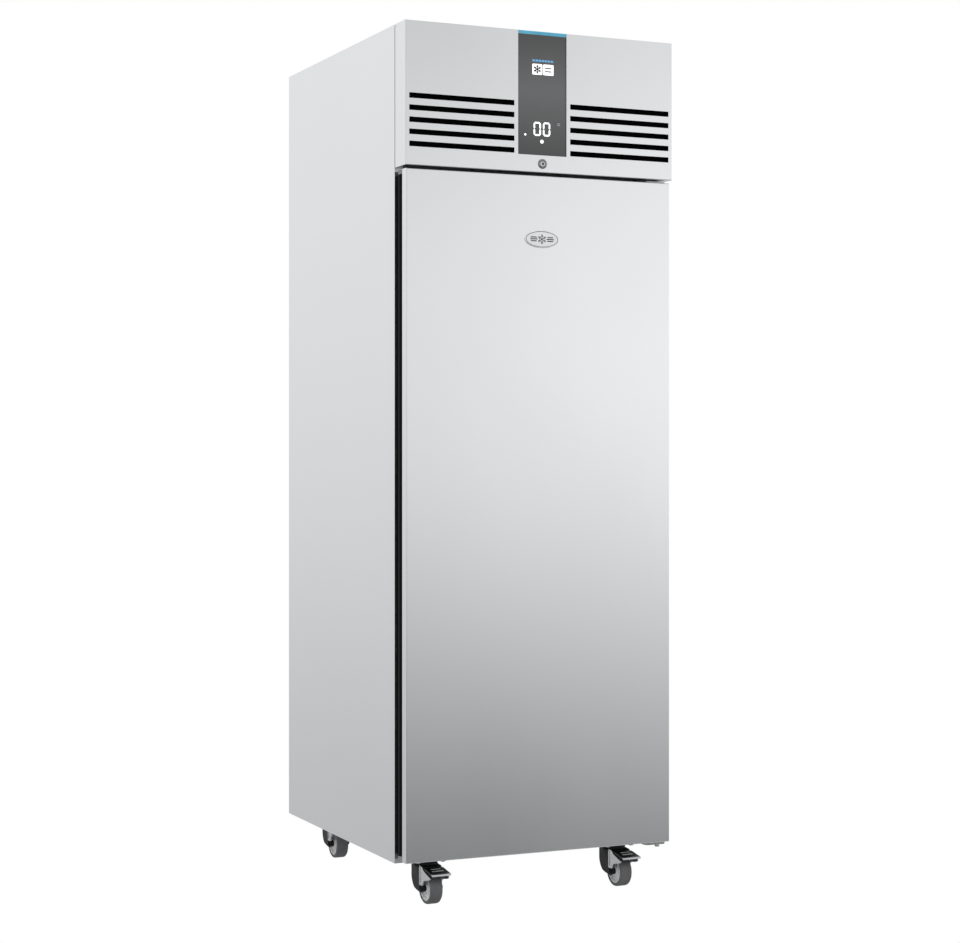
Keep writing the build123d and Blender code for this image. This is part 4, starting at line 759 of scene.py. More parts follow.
def makeFan(nodeName, body):
    low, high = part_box(nodeName)
    centre = (low + high) / 2
    tip = (high.x - low.x) / 2 - fanSizes["tipGap"] * mm
    hub, boss, bore = (fanSizes[key] * mm for key in ("hub", "boss", "bore"))
    halfHub = (high.y - low.y) / 2
    sheet = fanSizes["sheet"] * mm
    bm = bmesh.new()
    radial, chordwise = fanSizes["alongBlade"], fanSizes["acrossBlade"]
    for blade in range(fanSizes["blades"]):
        sides = []
        for side in (-0.5, 0.5):
            grid = []
            for i in range(radial):
                t = i / (radial - 1)
                radius = hub - 2 * mm + (tip - hub + 2 * mm) * t
                spanAngle = radians(fanSizes["rootTurn"] * (1 - t) + fanSizes["tipTurn"] * t)
                spanAngle *= 1.0 - 0.35 * max(0, t - 0.85) / 0.15
                row = []
                for j in range(chordwise):
                    s = j / (chordwise - 1) - 0.5
                    angle = 2 * pi * blade / fanSizes["blades"] + s * 2 * spanAngle * 0.62
                    angle += radians(fanSizes["sweep"]) * t
                    twist = fanSizes["axialRoot"] * (1 - t) + fanSizes["axialTip"] * t
                    axial = s * 2 * twist + fanSizes["camber"] * (0.25 - s * s) * 2 - 0.6
                    thin = sheet * side * (1.15 - 0.9 * abs(2 * s) ** 3)
                    spot = Vector((radius * cos(angle), axial * mm + thin, radius * sin(angle)))
                    row.append(bm.verts.new(centre + spot))
                grid.append(row)
            sides.append(grid)
        for grid in sides:
            for i in range(radial - 1):
                for j in range(chordwise - 1):
                    bm.faces.new((grid[i][j], grid[i + 1][j], grid[i + 1][j + 1], grid[i][j + 1]))
        a, b = sides
        edge = [(i, 0) for i in range(radial)] + [(radial - 1, j) for j in range(1, chordwise)]
        edge += [(i, chordwise - 1) for i in range(radial - 2, -1, -1)]
        edge += [(0, j) for j in range(chordwise - 2, 0, -1)]
        for (i, j), (k, l) in zip(edge, edge[1:] + edge[:1]):
            bm.faces.new((a[i][j], a[k][l], b[k][l], b[i][j]))
    wall = fanSizes["hubWall"] * mm
    place = axisPlace(centre, (0, -1, 0))
    nose = halfHub
    addLathe(bm, [(0, nose), (8 * mm, nose - 0.3 * mm), (19 * mm, nose - 1.6 * mm),
                  (25 * mm, nose - 4.2 * mm),
                  (hub, nose - 8.5 * mm), (hub, -halfHub), (hub - wall, -halfHub),
                  (hub - wall, nose - 9 * mm),
                  (boss, nose - 6 * mm), (boss, -halfHub + mm), (bore, -halfHub + mm),
                  (bore, nose - 6 * mm),
                  (0, nose - 6 * mm)], place, 40)
    keepPiece(bm, nodeName + "_blades", body, blackPlastic, [nodeName], 40)


makeFan("condenser_fan", "condenser_fan_rotor")
makeFan("evaporator_fan", "evaporator_fan_rotor")
print("fans made")

# compressor: two pressed shells welded at a flange, on a base plate

compressorSizes = {"radius": 76, "flange": 78.6, "seam": 0.58, "dome": 30, "plate": 3}
low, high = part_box("compressor")
mountsMiddle = middle("compressor_mounts")
foot = low.z
bm = bmesh.new()
x, y = mountsMiddle.x, mountsMiddle.y
addPlate(bm, roundedOutline([(-0.08, -0.08), (0.08, -0.08), (0.08, 0.08), (-0.08, 0.08)], 0.014), 0,
         compressorSizes["plate"] * mm,
         Matrix.Translation((x, y, foot)), 0.0006)
base = foot + compressorSizes["plate"] * mm
tall = high.z - 6 * mm - base
seam = tall * compressorSizes["seam"]
r, dome = compressorSizes["radius"] * mm, compressorSizes["dome"] * mm
profile = [(0, 0)]
profile += [(r * 0.62 + (r - r * 0.62) * sin(pi / 2 * k / 6), dome * 0.7 * (1 - cos(pi / 2 * k / 6)))
            for k in range(7)]
profile += [(r, seam - 5 * mm), (compressorSizes["flange"] * mm, seam - 3.6 * mm),
            (compressorSizes["flange"] * mm, seam + 1.2 * mm), (r - 1.6 * mm, seam + 2.4 * mm)]
top = r - 1.6 * mm
profile += [(top * cos(pi / 2 * k / 9) ** 0.72 if k < 9 else 0, tall - dome + dome * sin(pi / 2 * k / 9))
            for k in range(10)]
addLathe(bm, profile, Matrix.Translation((x, y, base)), 64)
addBox(bm, (x + r - 0.018, y - 0.028, foot + 0.06), (high.x, y + 0.028, foot + 0.12), 0.005)
addBox(bm, (high.x - 0.004, y - 0.022, foot + 0.066), (high.x, y + 0.022, foot + 0.114), 0.0015)
for side in (-1, 1):
    addLathe(bm, [(0, -0.036), (0.006, -0.036), (0.006, 0.0), (0.0045, 0.0), (0.0045, -0.004), (0, -0.004)],
             Matrix.Translation((x + side * 0.035, y, high.z)), 20)
for angle in (30, 150, 270):
    place = Matrix.Translation((x, y, foot)) @ Matrix.Rotation(radians(angle), 4, "Z")
    addBox(bm, (r - 0.022, -0.012, 0.001), (r + 0.003, 0.012, 0.03), 0.003, place)
keepPiece(bm, "compressor_shell", "cabinet", compressorPaint, ["compressor"], 35)
print("compressor made")

# door gasket: a snap-in foot, a bellows and a magnet pocket, mitred at the corners

gasketProfile = [  # across the ring from its outer edge, and forward to back, in shares of width and depth
    (0.30, 0.0), (0.70, 0.0), (0.70, 0.16), (0.62, 0.24), (0.78, 0.34), (0.64, 0.46), (0.94, 0.54),
    (1.0, 0.62), (1.0, 0.9), (0.93, 1.0),
    (0.07, 1.0), (0.0, 0.9), (0.0, 0.62), (0.06, 0.54), (0.36, 0.46), (0.22, 0.34), (0.38, 0.24),
    (0.30, 0.16)]
gasketSizes = {"width": 20}
low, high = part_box("door_gasket")
bm = bmesh.new()
rings = []
for sx, sz in ((-1, -1), (1, -1), (1, 1), (-1, 1)):
    ring = []
    for across, deep in gasketProfile:
        inset = across * gasketSizes["width"] * mm
        x = low.x + inset if sx < 0 else high.x - inset
        z = low.z + inset if sz < 0 else high.z - inset
        ring.append(bm.verts.new((x, low.y + deep * (high.y - low.y), z)))
    rings.append(ring)
for a, b in zip(rings, rings[1:] + rings[:1]):
    for k in range(len(gasketProfile)):
        n = (k + 1) % len(gasketProfile)
        bm.faces.new((a[k], a[n], b[n], b[k]))
keepPiece(bm, "door_gasket_bellows", "door", gasketRubber, ["door_gasket"], 42)
print("gasket made")

# badge: an oval lacquered plate, inked line and a plain snow crystal between short bars

badgeSizes = {"rim": 1.6, "line": 1.5, "lineInset": 2.9, "crystal": 11.5, "arm": 1.5, "bar": 19,
              "barThick": 2.4}


def ovalRing(bm, middlePoint, stations, steps=72):
    # stations hold (half width, half height, depth) rings, from the back to the front centre
    turns = [2 * pi * k / steps for k in range(steps)]
    rings = []
    for halfX, halfZ, depth in stations:
        if halfX < 1e-7:
            rings.append([bm.verts.new(middlePoint + Vector((0, depth, 0)))])
        else:
            ring = [Vector((halfX * cos(turn), depth, halfZ * sin(turn))) for turn in turns]
            rings.append([bm.verts.new(middlePoint + spot) for spot in ring])
    return rings


def skinRings(bm, rings, closed=False):
    pairs = list(zip(rings, rings[1:])) + ([(rings[-1], rings[0])] if closed else [])
    for a, b in pairs:
        count = max(len(a), len(b))
        for k in range(count):
            n = (k + 1) % count
            bm.faces.new((a[k], a[n], b[0]) if len(b) == 1 else (a[k], a[n], b[n], b[k]))
    if not closed and len(rings[0]) > 1:
        bm.faces.new(rings[0])


low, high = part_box("door_badge")
centre = Vector(((low.x + high.x) / 2, high.y, (low.z + high.z) / 2))
halfX, halfZ, thick = (high.x - low.x) / 2, (high.z - low.z) / 2, high.y - low.y
rim = badgeSizes["rim"] * mm
field = -thick + 0.5 * mm
bm = bmesh.new()
skinRings(bm, ovalRing(bm, centre, [
    (halfX, halfZ, 0), (halfX, halfZ, -thick * 0.55), (halfX - 0.4 * rim, halfZ - 0.4 * rim, -thick * 0.92),
    (halfX - 0.7 * rim, halfZ - 0.7 * rim, -thick),
    (halfX - rim, halfZ - rim, -thick * 0.97), (halfX - 1.25 * rim, halfZ - 1.25 * rim, field),
    (halfX * 0.6, halfZ * 0.6, field - 0.15 * mm), (0, 0, field - 0.2 * mm)]))
keepPiece(bm, "badge_plate", "door", badgeWhite, ["door_badge"], 30)
bm = bmesh.new()
inset, line, proud = badgeSizes["lineInset"] * mm, badgeSizes["line"] * mm, field - 0.22 * mm
outX, outZ, inX, inZ = halfX - inset + line, halfZ - inset + line, halfX - inset, halfZ - inset
skinRings(bm, ovalRing(bm, centre,
                       [(outX, outZ, field + 0.1 * mm), (outX, outZ, proud), (inX, inZ, proud),
                        (inX, inZ, field + 0.1 * mm)]), True)
arm, reach = badgeSizes["arm"] * mm / 2, badgeSizes["crystal"] * mm


def snowCrystal(bm, point, reach, arm, back, front):
    # six arms, each with two pairs of short barbs, in the XZ plane
    for k in range(6):
        place = Matrix.Translation(point) @ Matrix.Rotation(radians(60 * k), 4, "Y")
        addBox(bm, (-arm, front, 0), (arm, back, reach), place=place)
        for share, size in ((0.45, 0.34), (0.72, 0.24)):
            for side in (-1, 1):
                barb = place @ Matrix.Translation((0, 0, reach * share))
                barb = barb @ Matrix.Rotation(radians(side * 55), 4, "Y")
                addBox(bm, (-arm * 0.8, front, 0), (arm * 0.8, back, reach * size), place=barb)


snowCrystal(bm, centre, reach, arm, field, proud)
for side in (-1, 1):
    for rise in (-1, 0, 1):
        x = side * (reach + 0.5 * mm + badgeSizes["bar"] * mm / 2)
        half = badgeSizes["bar"] * mm / 2 * (1 if rise == 0 else 0.8)
        z = rise * 4.4 * mm
        addBox(bm, (centre.x + x - half, centre.y + proud, centre.z + z - badgeSizes["barThick"] * mm / 2),
               (centre.x + x + half, centre.y + field, centre.z + z + badgeSizes["barThick"] * mm / 2))
keepPiece(bm, "badge_emblem", "door", markInkAndKeywayShade, (), 30)
print("badge made")

# display: two lit digits, indicator dots, small symbols and a snow crystal above

displaySizes = {
    "digitHeight": 33, "digitWidth": 19.2, "digitGap": 5.2, "digitFoot": 46, "stroke": 3.9, "skin": 0.25,
    "dotRadius": 4.3, "dotDrop": 13.0, "tilesFoot": 190.8, "tilesTall": 25.2, "tileA": (-25, 0.8),
    "tileB": (3.2, 30.4),
    "crystal": 10.4, "lineFoot": 221.6, "lineTall": 4.6}
low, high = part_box("display_panel")
glass = low.y
deck = glass - displaySizes["skin"] * mm
bm = bmesh.new()


def segment(bm, x0, z0, x1, z1, stroke):
    # a flat bar with pointed ends, as on a seven-segment numeral
    along = Vector((x1 - x0, z1 - z0))
    size = along.length
    along.normalize()
    across = Vector((-along.y, along.x))
    h = stroke / 2
    start = Vector((x0, z0)) + along * 0.35 * mm
    outline = [(0, 0), (h, h), (size - h - 0.7 * mm, h), (size - 0.7 * mm, 0), (size - h - 0.7 * mm, -h),
               (h, -h)]
    points = [start + along * u + across * v for u, v in outline]
    addPlate(bm, [(p.x, p.y) for p in points], 0, displaySizes["skin"] * mm, facePlace(0, glass, 0))


digitFoot = low.z + displaySizes["digitFoot"] * mm
tall, wide, stroke, skin = (displaySizes[key] * mm
                            for key in ("digitHeight", "digitWidth", "stroke", "skin"))
for column in (-1, 1):
    gap = displaySizes["digitGap"] / 2 * mm
    x0 = (gap if column > 0 else -gap - wide) + stroke / 2
    x1, z0, z1 = x0 + wide - stroke, digitFoot + stroke / 2, digitFoot + tall - stroke / 2
    zm = (z0 + z1) / 2
    for a, b, c, d in ((x0, z0, x1, z0), (x0, z1, x1, z1), (x0, z0, x0, zm), (x0, zm, x0, z1),
                       (x1, z0, x1, zm), (x1, zm, x1, z1)):
        segment(bm, a, b, c, d, stroke)
for x, z, radius in ((0, -displaySizes["dotDrop"], displaySizes["dotRadius"]), (-43.6, 1.6, 2.5)):
    addLathe(bm, rod(radius * mm, 0, skin), facePlace(x * mm, glass, digitFoot + z * mm), 32)
# two lit tiles carry a dark snow crystal and two dark bars
tileFoot = low.z + displaySizes["tilesFoot"] * mm
tileTop = tileFoot + displaySizes["tilesTall"] * mm
for x0, x1 in (displaySizes["tileA"], displaySizes["tileB"]):
    outline = roundedOutline([(x0 * mm, tileFoot), (x1 * mm, tileFoot), (x1 * mm, tileTop),
                              (x0 * mm, tileTop)], 0.0025)
    addPlate(bm, outline, 0, skin, facePlace(0, glass, 0))
keepPiece(bm, "display_symbols", "facia", whiteGlow, (), 30)
bm = bmesh.new()
x0, x1 = displaySizes["tileA"]
snowCrystal(bm, Vector(((x0 + x1) / 2 * mm, deck, (tileFoot + tileTop) / 2)), displaySizes["crystal"] * mm,
            1.25 * mm, 0.0, -0.1 * mm)
x0, x1 = displaySizes["tileB"]
for z in (7.2, 15.0):
    addBox(bm, ((x0 + 5) * mm, deck - 0.1 * mm, tileFoot + z * mm),
           ((x1 - 5) * mm, deck, tileFoot + (z + 3.0) * mm))
keepPiece(bm, "display_tile_marks", "facia", markInkAndKeywayShade, (), 30)
bm = bmesh.new()
for x0, x1, z0, z1 in ((41, 47.6, 27, 28.4), (41, 47.6, 31.4, 32.8), (41, 42.4, 28.4, 31.4),
                       (46.2, 47.6, 28.4, 31.4)):
    addBox(bm, (x0 * mm, deck, digitFoot + z0 * mm), (x1 * mm, glass, digitFoot + z1 * mm))
keepPiece(bm, "display_door_mark", "facia", greyGlow, (), 30)
bm = bmesh.new()
for k in range(7):
    x0 = displaySizes["tileA"][0] + k * 8.0
    addBox(bm, (x0 * mm, deck, low.z + displaySizes["lineFoot"] * mm),
           ((x0 + 6.6) * mm, glass, low.z + (displaySizes["lineFoot"] + displaySizes["lineTall"]) * mm))
keepPiece(bm, "display_level_bars", "facia", blueGlow, (), 30)
print("display made")

# lock: bevelled bezel ring round the barrel

lockSizes = {"bezel": 11.8, "inner": 6.4, "round": 0.7, "keyway": 2.9, "keywayAside": 0.9,
             "keywayProud": 0.12}
low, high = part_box("lock_housing")
lockMiddle = middle("lock_housing")
place = axisPlace((lockMiddle.x, low.y, lockMiddle.z), (0, 1, 0))
bezel, inner, soft = lockSizes["bezel"] * mm, lockSizes["inner"] * mm, lockSizes["round"] * mm
bm = bmesh.new()
addLathe(bm, [(inner, 0.9 * mm), (inner + 0.9 * mm, 0.25 * mm), (bezel - 3.2 * mm, 0),
              (bezel - 1.6 * mm, soft * 0.5), (bezel, soft * 2), (bezel, 2 * mm),
              (9 * mm, 2 * mm), (9 * mm, 7 * mm), (8.2 * mm, 7.4 * mm), (9 * mm, 7.8 * mm),
              (9 * mm, high.y - low.y), (inner, high.y - low.y)], place, 56, True)
keepPiece(bm, "lock_bezel", "facia", shadedLockNickel, ["lock_housing"], 25)
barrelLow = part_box("lock_barrel")[0]
# painted shade: a flat dark disc on the barrel face stands for the shaded keyway opening
bm = bmesh.new()
addLathe(bm, rod(lockSizes["keyway"] * mm, 0, lockSizes["keywayProud"] * mm),
         axisPlace((lockMiddle.x + lockSizes["keywayAside"] * mm, barrelLow.y, lockMiddle.z), (0, -1, 0)),
         28)
keepPiece(bm, "lock_keyway", "lock", markInkAndKeywayShade, (), 30)
print("lock made")

# screws and bolts, one mesh for each body

screwSizes = {"panel": (4.2, 2.2, 1.7), "plate": (7.5, 4.6, 3.4)}  # head radius, height, socket radius
patterns = {kind: screwPattern(kind + "Screw", radius * mm, height * mm, socket * mm, 12)
            for kind, (radius, height, socket) in screwSizes.items()}


def driveScrews(name, body, kind, points, normals, finish):
    mesh = grow(name, points, screwTree,
                {"Pattern": patterns[kind], "Size": 1.0, "Turn": 7, "Finish": finish}, normals)
    return keepMesh(mesh, name, body, finish, (), 35)


def edgePoints(lowA, highA, count):
    return [lowA + (highA - lowA) * k / (count - 1) for k in range(count)]


# facing side, insets in mm from left, right, foot and head (or front and back), columns, rows
panelScrews = {
    "rear_grille": ("back", (12, 12, 8, 8), 5, 2),
    "control_box": ("top", (12, 12, 12, 12), 2, 2),
    "evaporator_housing": ("front", (20, 20, 30, 20), 4, 2),
    "fan_shroud": ("back", (8, 8, 8, 8), 2, 2),
    "rear_air_duct": ("front", (12, 12, 20, 20), 2, 4),
}
points, normals = [], []
for sheet, (side, insets, columns, rows) in panelScrews.items():
    low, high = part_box(sheet)
    left, right, foot, head = (inset * mm for inset in insets)
    across = edgePoints(low.x + left, high.x - right, columns)
    if side == "top":
        points += [(x, y, high.z) for y in edgePoints(low.y + foot, high.y - head, rows) for x in across]
        normals += [(0, 0, 1)] * columns * rows
    else:
        depth, out = (high.y, 1) if side == "back" else (low.y, -1)
        points += [(x, depth, z) for x in across for z in edgePoints(low.z + foot, high.z - head, rows)]
        normals += [(0, out, 0)] * columns * rows
driveScrews("cabinet_panel_screws", "cabinet", "panel", points, normals, brightZinc)

points, normals = [], []
for nodeName in ("upper_hinge", "lower_hinge"):
    low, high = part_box(nodeName)
    for x in (low.x + 0.009, high.x - 0.009):
        points.append((x, high.y - 0.002, high.z - 0.009))
        normals.append((0, -1, 0))
driveScrews("hinge_screws", "cabinet", "panel", points, normals, brightZinc)

pin = jointSpot("door_swing")
bm = bmesh.new()
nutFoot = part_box("lower_hinge")[0].z
addPlate(bm, hexagon(6.3), -0.1 * mm, 7 * mm, Matrix.Translation((pin.x, pin.y, nutFoot)), 0.0007)
keepPiece(bm, "hinge_pin_nut", "cabinet", brightZinc, (), 30)

points, normals = [], []
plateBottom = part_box("base_panel")[0].z - 0.004
castorCorners = {"front_left": True, "front_right": True, "rear_left": False, "rear_right": False}
for corner in castorCorners:
    spot = jointSpot("castor_swivel_" + corner)
    for dx in (-0.031, 0.031):
        for dy in (-0.031, 0.031):
            points.append((spot.x + dx, spot.y + dy, plateBottom))
            normals.append((0, 0, -1))
driveScrews("castor_plate_bolts", "cabinet", "plate", points, normals, brightZinc)
for pattern in patterns.values():
    bpy.data.objects.remove(pattern)
print("screws driven")

# castors

castorSizes = {
    "yawFront": 2, "trail": 27, "wheel": 37.5, "legInner": 22.5, "legSheet": 2.5,
    "crownRadius": 30, "crownTop": 90.7, "crownFoot": 85.7, "crownFront": 21,
    "nut": 6.2, "nutLength": 4.2, "axleOut": 5.4, "apronBack": 34, "cheekBack": -17,
}


def castorPlace(corner):
    # local -Y points forward, the swivel axis is local Z through the floor point
    spot = jointSpot("castor_swivel_" + corner)
    yaw = castorSizes["yawFront"] if corner.startswith("front") else 0
    return Matrix.Translation((spot.x, spot.y, 0)) @ Matrix.Rotation(radians(yaw), 4, "Z")


def sidePlate(bm, place, outline, x0, x1, soften=0.0004):
    # outline is (forward-back, height) in mm; the sheet lies between x0 and x1
    side = place @ Matrix(((0, 0, 1, 0), (1, 0, 0, 0), (0, 1, 0, 0), (0, 0, 0, 1)))
    before = set(bm.verts)
    addPlate(bm, [(y * mm, z * mm) for y, z in outline], x0 * mm, x1 * mm, side, soften)
    return [v for v in bm.verts if v not in before]


def wheelAxle(place, x=0, turn=1):
    # a matrix on the wheel's centre line, x mm to the side, whose local Z points along the axle
    centre = Matrix.Translation((x * mm, -castorSizes["trail"] * mm, castorSizes["wheel"] * mm))
    return place @ centre @ Matrix.Rotation(turn * pi / 2, 4, "Y")


def mirrored(half):
    # the profile of a wheel part in metres, from one half of it in mm
    return [(r * mm, h * mm) for r, h in half] + [(r * mm, -h * mm) for r, h in half[::-1]]


def makeHub(bm, place):
    axle = wheelAxle(place)
    half = [(4.1, 14.0), (8.2, 14.0), (9.4, 13.2), (9.8, 9.5), (11.0, 8.2), (13.0, 7.8), (21.5, 7.8),
            (23.8, 8.6), (25.2, 10.6), (26.0, 13.2), (26.8, 14.0), (29.5, 14.0)]
    addLathe(bm, mirrored(half), axle, 56, True)
    # low ribs on each face of the web
    for side in (-1, 1):
        for k in range(8):
            rib = axle @ Matrix.Rotation(2 * pi * (k + 0.5) / 8, 4, "Z")
            near, far = ordered(side, 7.0 * mm, 9.4 * mm)
            addBox(bm, (9.6 * mm, -0.8 * mm, near), (24.6 * mm, 0.8 * mm, far), 0.0005, rib, 1)


def makeTyre(bm, place):
    half = [(29.5, 15.0), (30.2, 15.5), (33.0, 15.5), (34.8, 15.1), (36.3, 13.9), (37.15, 12.0),
            (37.5, 9.6), (37.5, 4.0)]
    addLathe(bm, mirrored(half), wheelAxle(place), 72, True)


def makeForkFrame(bm, place):
    # near-black crown bowl and the rear aprons of both legs, dark as painted shade for the shadow under the
    # cabinet
    c = castorSizes
    r, top, low, front = c["crownRadius"], c["crownTop"], c["crownFoot"], c["crownFront"]
    addLathe(bm, [(5.3 * mm, top * mm), (r * 0.9 * mm, top * mm), (r * 0.98 * mm, (top - 1) * mm),
                  (r * mm, (top - 2.6) * mm), (r * mm, low * mm),
                  (5.3 * mm, low * mm)], place, 56, True, front * mm)
    x0, x1, back = c["legInner"], c["legInner"] + c["legSheet"], c["apronBack"]
    for side in (-1, 1):
        a, b = ordered(side, 16, x1)
        addBox(bm, (a * mm, -front * mm, low * mm), (b * mm, (back - 8) * mm, (top - 0.3) * mm), 0.0012,
               place)
    edge = c["cheekBack"]
    outline = roundedOutline([(edge, top - 0.2), (back, top - 0.2), (back, 57.5), (back - 8, 45.5),
                              (14, 34.5), (-6, 29.5), (-27, 27), (-37.5, 31.5), (-38.5, 45), (edge, 45)],
                             [1, 4, 14, 12, 14, 14, 8, 6, 2, 1])
    for side in (-1, 1):
        made = sidePlate(bm, place, outline, *ordered(side, x0, x1), 0.0005)
        for vert in made:  # the apron tucks in towards its back edge
            local = place.inverted() @ vert.co
            tuck = max(0.0, (local.y / mm - 6) / (back - 6))
            local.x -= side * 3 * mm * tuck * tuck
            vert.co = place @ local


def makeCheeks(bm, place, braked):
    # bright pressed cheeks that run forward beside the tyre
    c = castorSizes
    x0, x1 = c["legInner"] + 0.1, c["legInner"] + c["legSheet"] + 0.3
    edge, top = c["cheekBack"], c["crownTop"] - 0.4
    if braked:
        nose = [(-50, 60), (-66, 62.8), (-75.5, 65.2), (-77.6, 70), (-40.5, 81.5)]
    else:
        nose = [(-44, 61.5), (-46, 72), (-40, 81.5)]
    outline = [(edge, top), (edge, 45), (-36.5, 45), (-37.5, 56)] + nose + [(-34, 88.6)]
    outline = roundedOutline(outline, [1, 1.5, 3, 5] + [4, 3, 2.5, 2.5, 8][-len(nose):] + [8])
    # a narrow folded rib stiffens each cheek
    rib = roundedOutline([(edge - 2.5, 86), (edge - 2.5, 50), (edge - 6, 50), (edge - 6, 86)], 1.5)
    for side in (-1, 1):
        sidePlate(bm, place, outline, *ordered(side, x0, x1), 0.0005)
        sidePlate(bm, place, rib, *ordered(side, x1, x1 + 1), 0.0004)


def makeAxleEnds(bm, place):
    c = castorSizes
    out = c["legInner"] + c["legSheet"]
    for side in (-1, 1):
        end = wheelAxle(place, side * out, side)
        addPlate(bm, hexagon(c["nut"]), 0, c["nutLength"] * mm, end, 0.0006)
        addLathe(bm, [(0, 0), (7.6 * mm, 0), (7.6 * mm, 1 * mm), (7.1 * mm, 1.3 * mm), (0, 1.3 * mm)], end,
                 28)
        addLathe(bm, [(0, 4 * mm), (4 * mm, 4 * mm), (4 * mm, 4.8 * mm), (3.3 * mm, c["axleOut"] * mm),
                      (0, c["axleOut"] * mm)], end, 20)


def makeAxleRod(bm, place):
    axle = wheelAxle(place)
    inner = castorSizes["legInner"] * mm
    half = inner + 1.5 * mm
    addLathe(bm, rod(4 * mm, -half, half), axle, 20)
    for side in (-1, 1):  # spacer between hub and leg
        a, b = ordered(side, 14.4 * mm, inner)
        addLathe(bm, [(4 * mm, a), (8 * mm, a), (8 * mm, b), (4 * mm, b)], axle, 24, True)


pedalSizes = {"pivotY": -31, "pivotZ": 85.7, "earHalf": 21.4, "treadHalf": 24.4, "fold": -46, "lip": -84,
              "tip": -90, "top": 87.2, "drop": 8, "sheet": 3}


def treadTop(y):
    p = pedalSizes
    return p["top"] - max(0.0, (p["fold"] - y) / (p["fold"] - p["tip"])) * p["drop"]


def makePedalArm(bm, place):
    # lever, dark as painted shade: flanks beside the tyre, a sloped tread over it, the cross pin and the shoe
    p = pedalSizes
    flank = roundedOutline([(-35, 86), (-46, 86), (-78, 79.5), (-74, 74.5), (-62, 71.5), (-49, 74),
                            (-37, 80)], [3, 2, 3, 5, 8, 8, 5])
    for side in (-1, 1):
        sidePlate(bm, place, flank, *ordered(side, p["earHalf"] - 2, p["earHalf"]), 0.0004)
    bridge = [(p["pivotY"], p["top"]), (p["fold"], p["top"]), (p["fold"], p["top"] - p["sheet"]),
              (p["pivotY"], p["top"] - p["sheet"])]
    sidePlate(bm, place, bridge, -p["earHalf"], p["earHalf"], 0.0004)
    lip = p["lip"]
    tread = [(p["fold"], p["top"]), (lip, treadTop(lip)), (lip, treadTop(lip) - p["sheet"]),
             (p["fold"], p["top"] - p["sheet"])]
    sidePlate(bm, place, tread, -p["treadHalf"], p["treadHalf"], 0.0006)
    pin = place @ Matrix.Translation((0, p["pivotY"] * mm, p["pivotZ"] * mm))
    pin = pin @ Matrix.Rotation(pi / 2, 4, "Y")
    reach = castorSizes["legInner"] + castorSizes["legSheet"]
    addLathe(bm, rod(2 * mm, -reach * mm, reach * mm), pin, 16)
    addLathe(bm, rod(4 * mm, -21 * mm, 21 * mm), pin, 20)
    shoe = roundedOutline([(-34, 84.5), (-34, 78), (-41, 77.6), (-41, 84.5)], 1.2)
    sidePlate(bm, place, shoe, -12, 12, 0.0003)


def makePedalTreadHighlights(bm, place):
    # rolled lip at the tip in bright zinc, and two pressed ribs on the tread made bright as painted
    # highlights
    p = pedalSizes
    lip, tip = p["lip"], p["tip"]
    rolled = [(lip, treadTop(lip) + 0.1), (tip + 2, treadTop(tip + 2) + 0.1),
              (tip + 0.5, treadTop(tip) - 1), (tip, treadTop(tip) - 3), (tip + 0.8, 74.8), (tip + 2, 74.8),
              (tip + 3, 76.2), (lip, treadTop(lip) - p["sheet"])]
    sidePlate(bm, place, rolled, -p["treadHalf"], p["treadHalf"], 0.0004)
    for y, half in ((-54, 13), (-67, 15)):
        z = treadTop(y)
        addBox(bm, (-half * mm, (y - 2.2) * mm, (z - 1) * mm), (half * mm, (y + 2.2) * mm, (z + 1.1) * mm),
               0.0007, place, 1)


for corner, braked in castorCorners.items():
    place = castorPlace(corner)
    body, wheel, pedal = "castor_" + corner, "wheel_" + corner, "pedal_" + corner
    for name, rides, finish, old, slotName, makers in (
            ("fork_frame_", body, forkShadeBlack, ["castor_fork_" + corner], "plated_steel", (makeForkFrame,)),
            ("fork_cheeks_", body, brightZinc, (), "plated_steel", (makeCheeks,)),
            ("axle_ends_", body, forkShadeBlack, (), "plated_steel", (makeAxleEnds, makeAxleRod)),
            ("wheel_hub_", wheel, hubPlastic, ["castor_hub_" + corner], "hub_plastic", (makeHub,)),
            ("wheel_tyre_", wheel, tyreRubber, ["castor_tyre_" + corner], "tyre_rubber", (makeTyre,)),
            ("pedal_arm_", pedal, darkZincAndShade, ["brake_pedal_" + corner], "plated_steel", (makePedalArm,)),
            ("pedal_tread_", pedal, brightZinc, (), "plated_steel", (makePedalTreadHighlights,))):
        if rides == pedal and not braked:
            continue
        bm = bmesh.new()
        for maker in makers:
            if maker is makeCheeks:
                maker(bm, place, braked)
            else:
                maker(bm, place)
        keepPiece(bm, name + corner, rides, finish, old, 32)
print("castors made")

# room, light and camera

roomSizes = {"floor": 30.0, "floorDrop": 0.5, "floorGrey": 0.42}


def showApart(tree, sink, soft, seen):
    # one shader lights the object, the other is what is seen of the room itself
    path = tree.nodes.new("ShaderNodeLightPath")
    choose = tree.nodes.new("ShaderNodeMixShader")
    tree.links.new(path.outputs["Is Camera Ray"], choose.inputs[0])
    tree.links.new(soft.outputs[0], choose.inputs[1])
    tree.links.new(seen.outputs[0], choose.inputs[2])
    tree.links.new(choose.outputs[0], sink.inputs["Surface"])


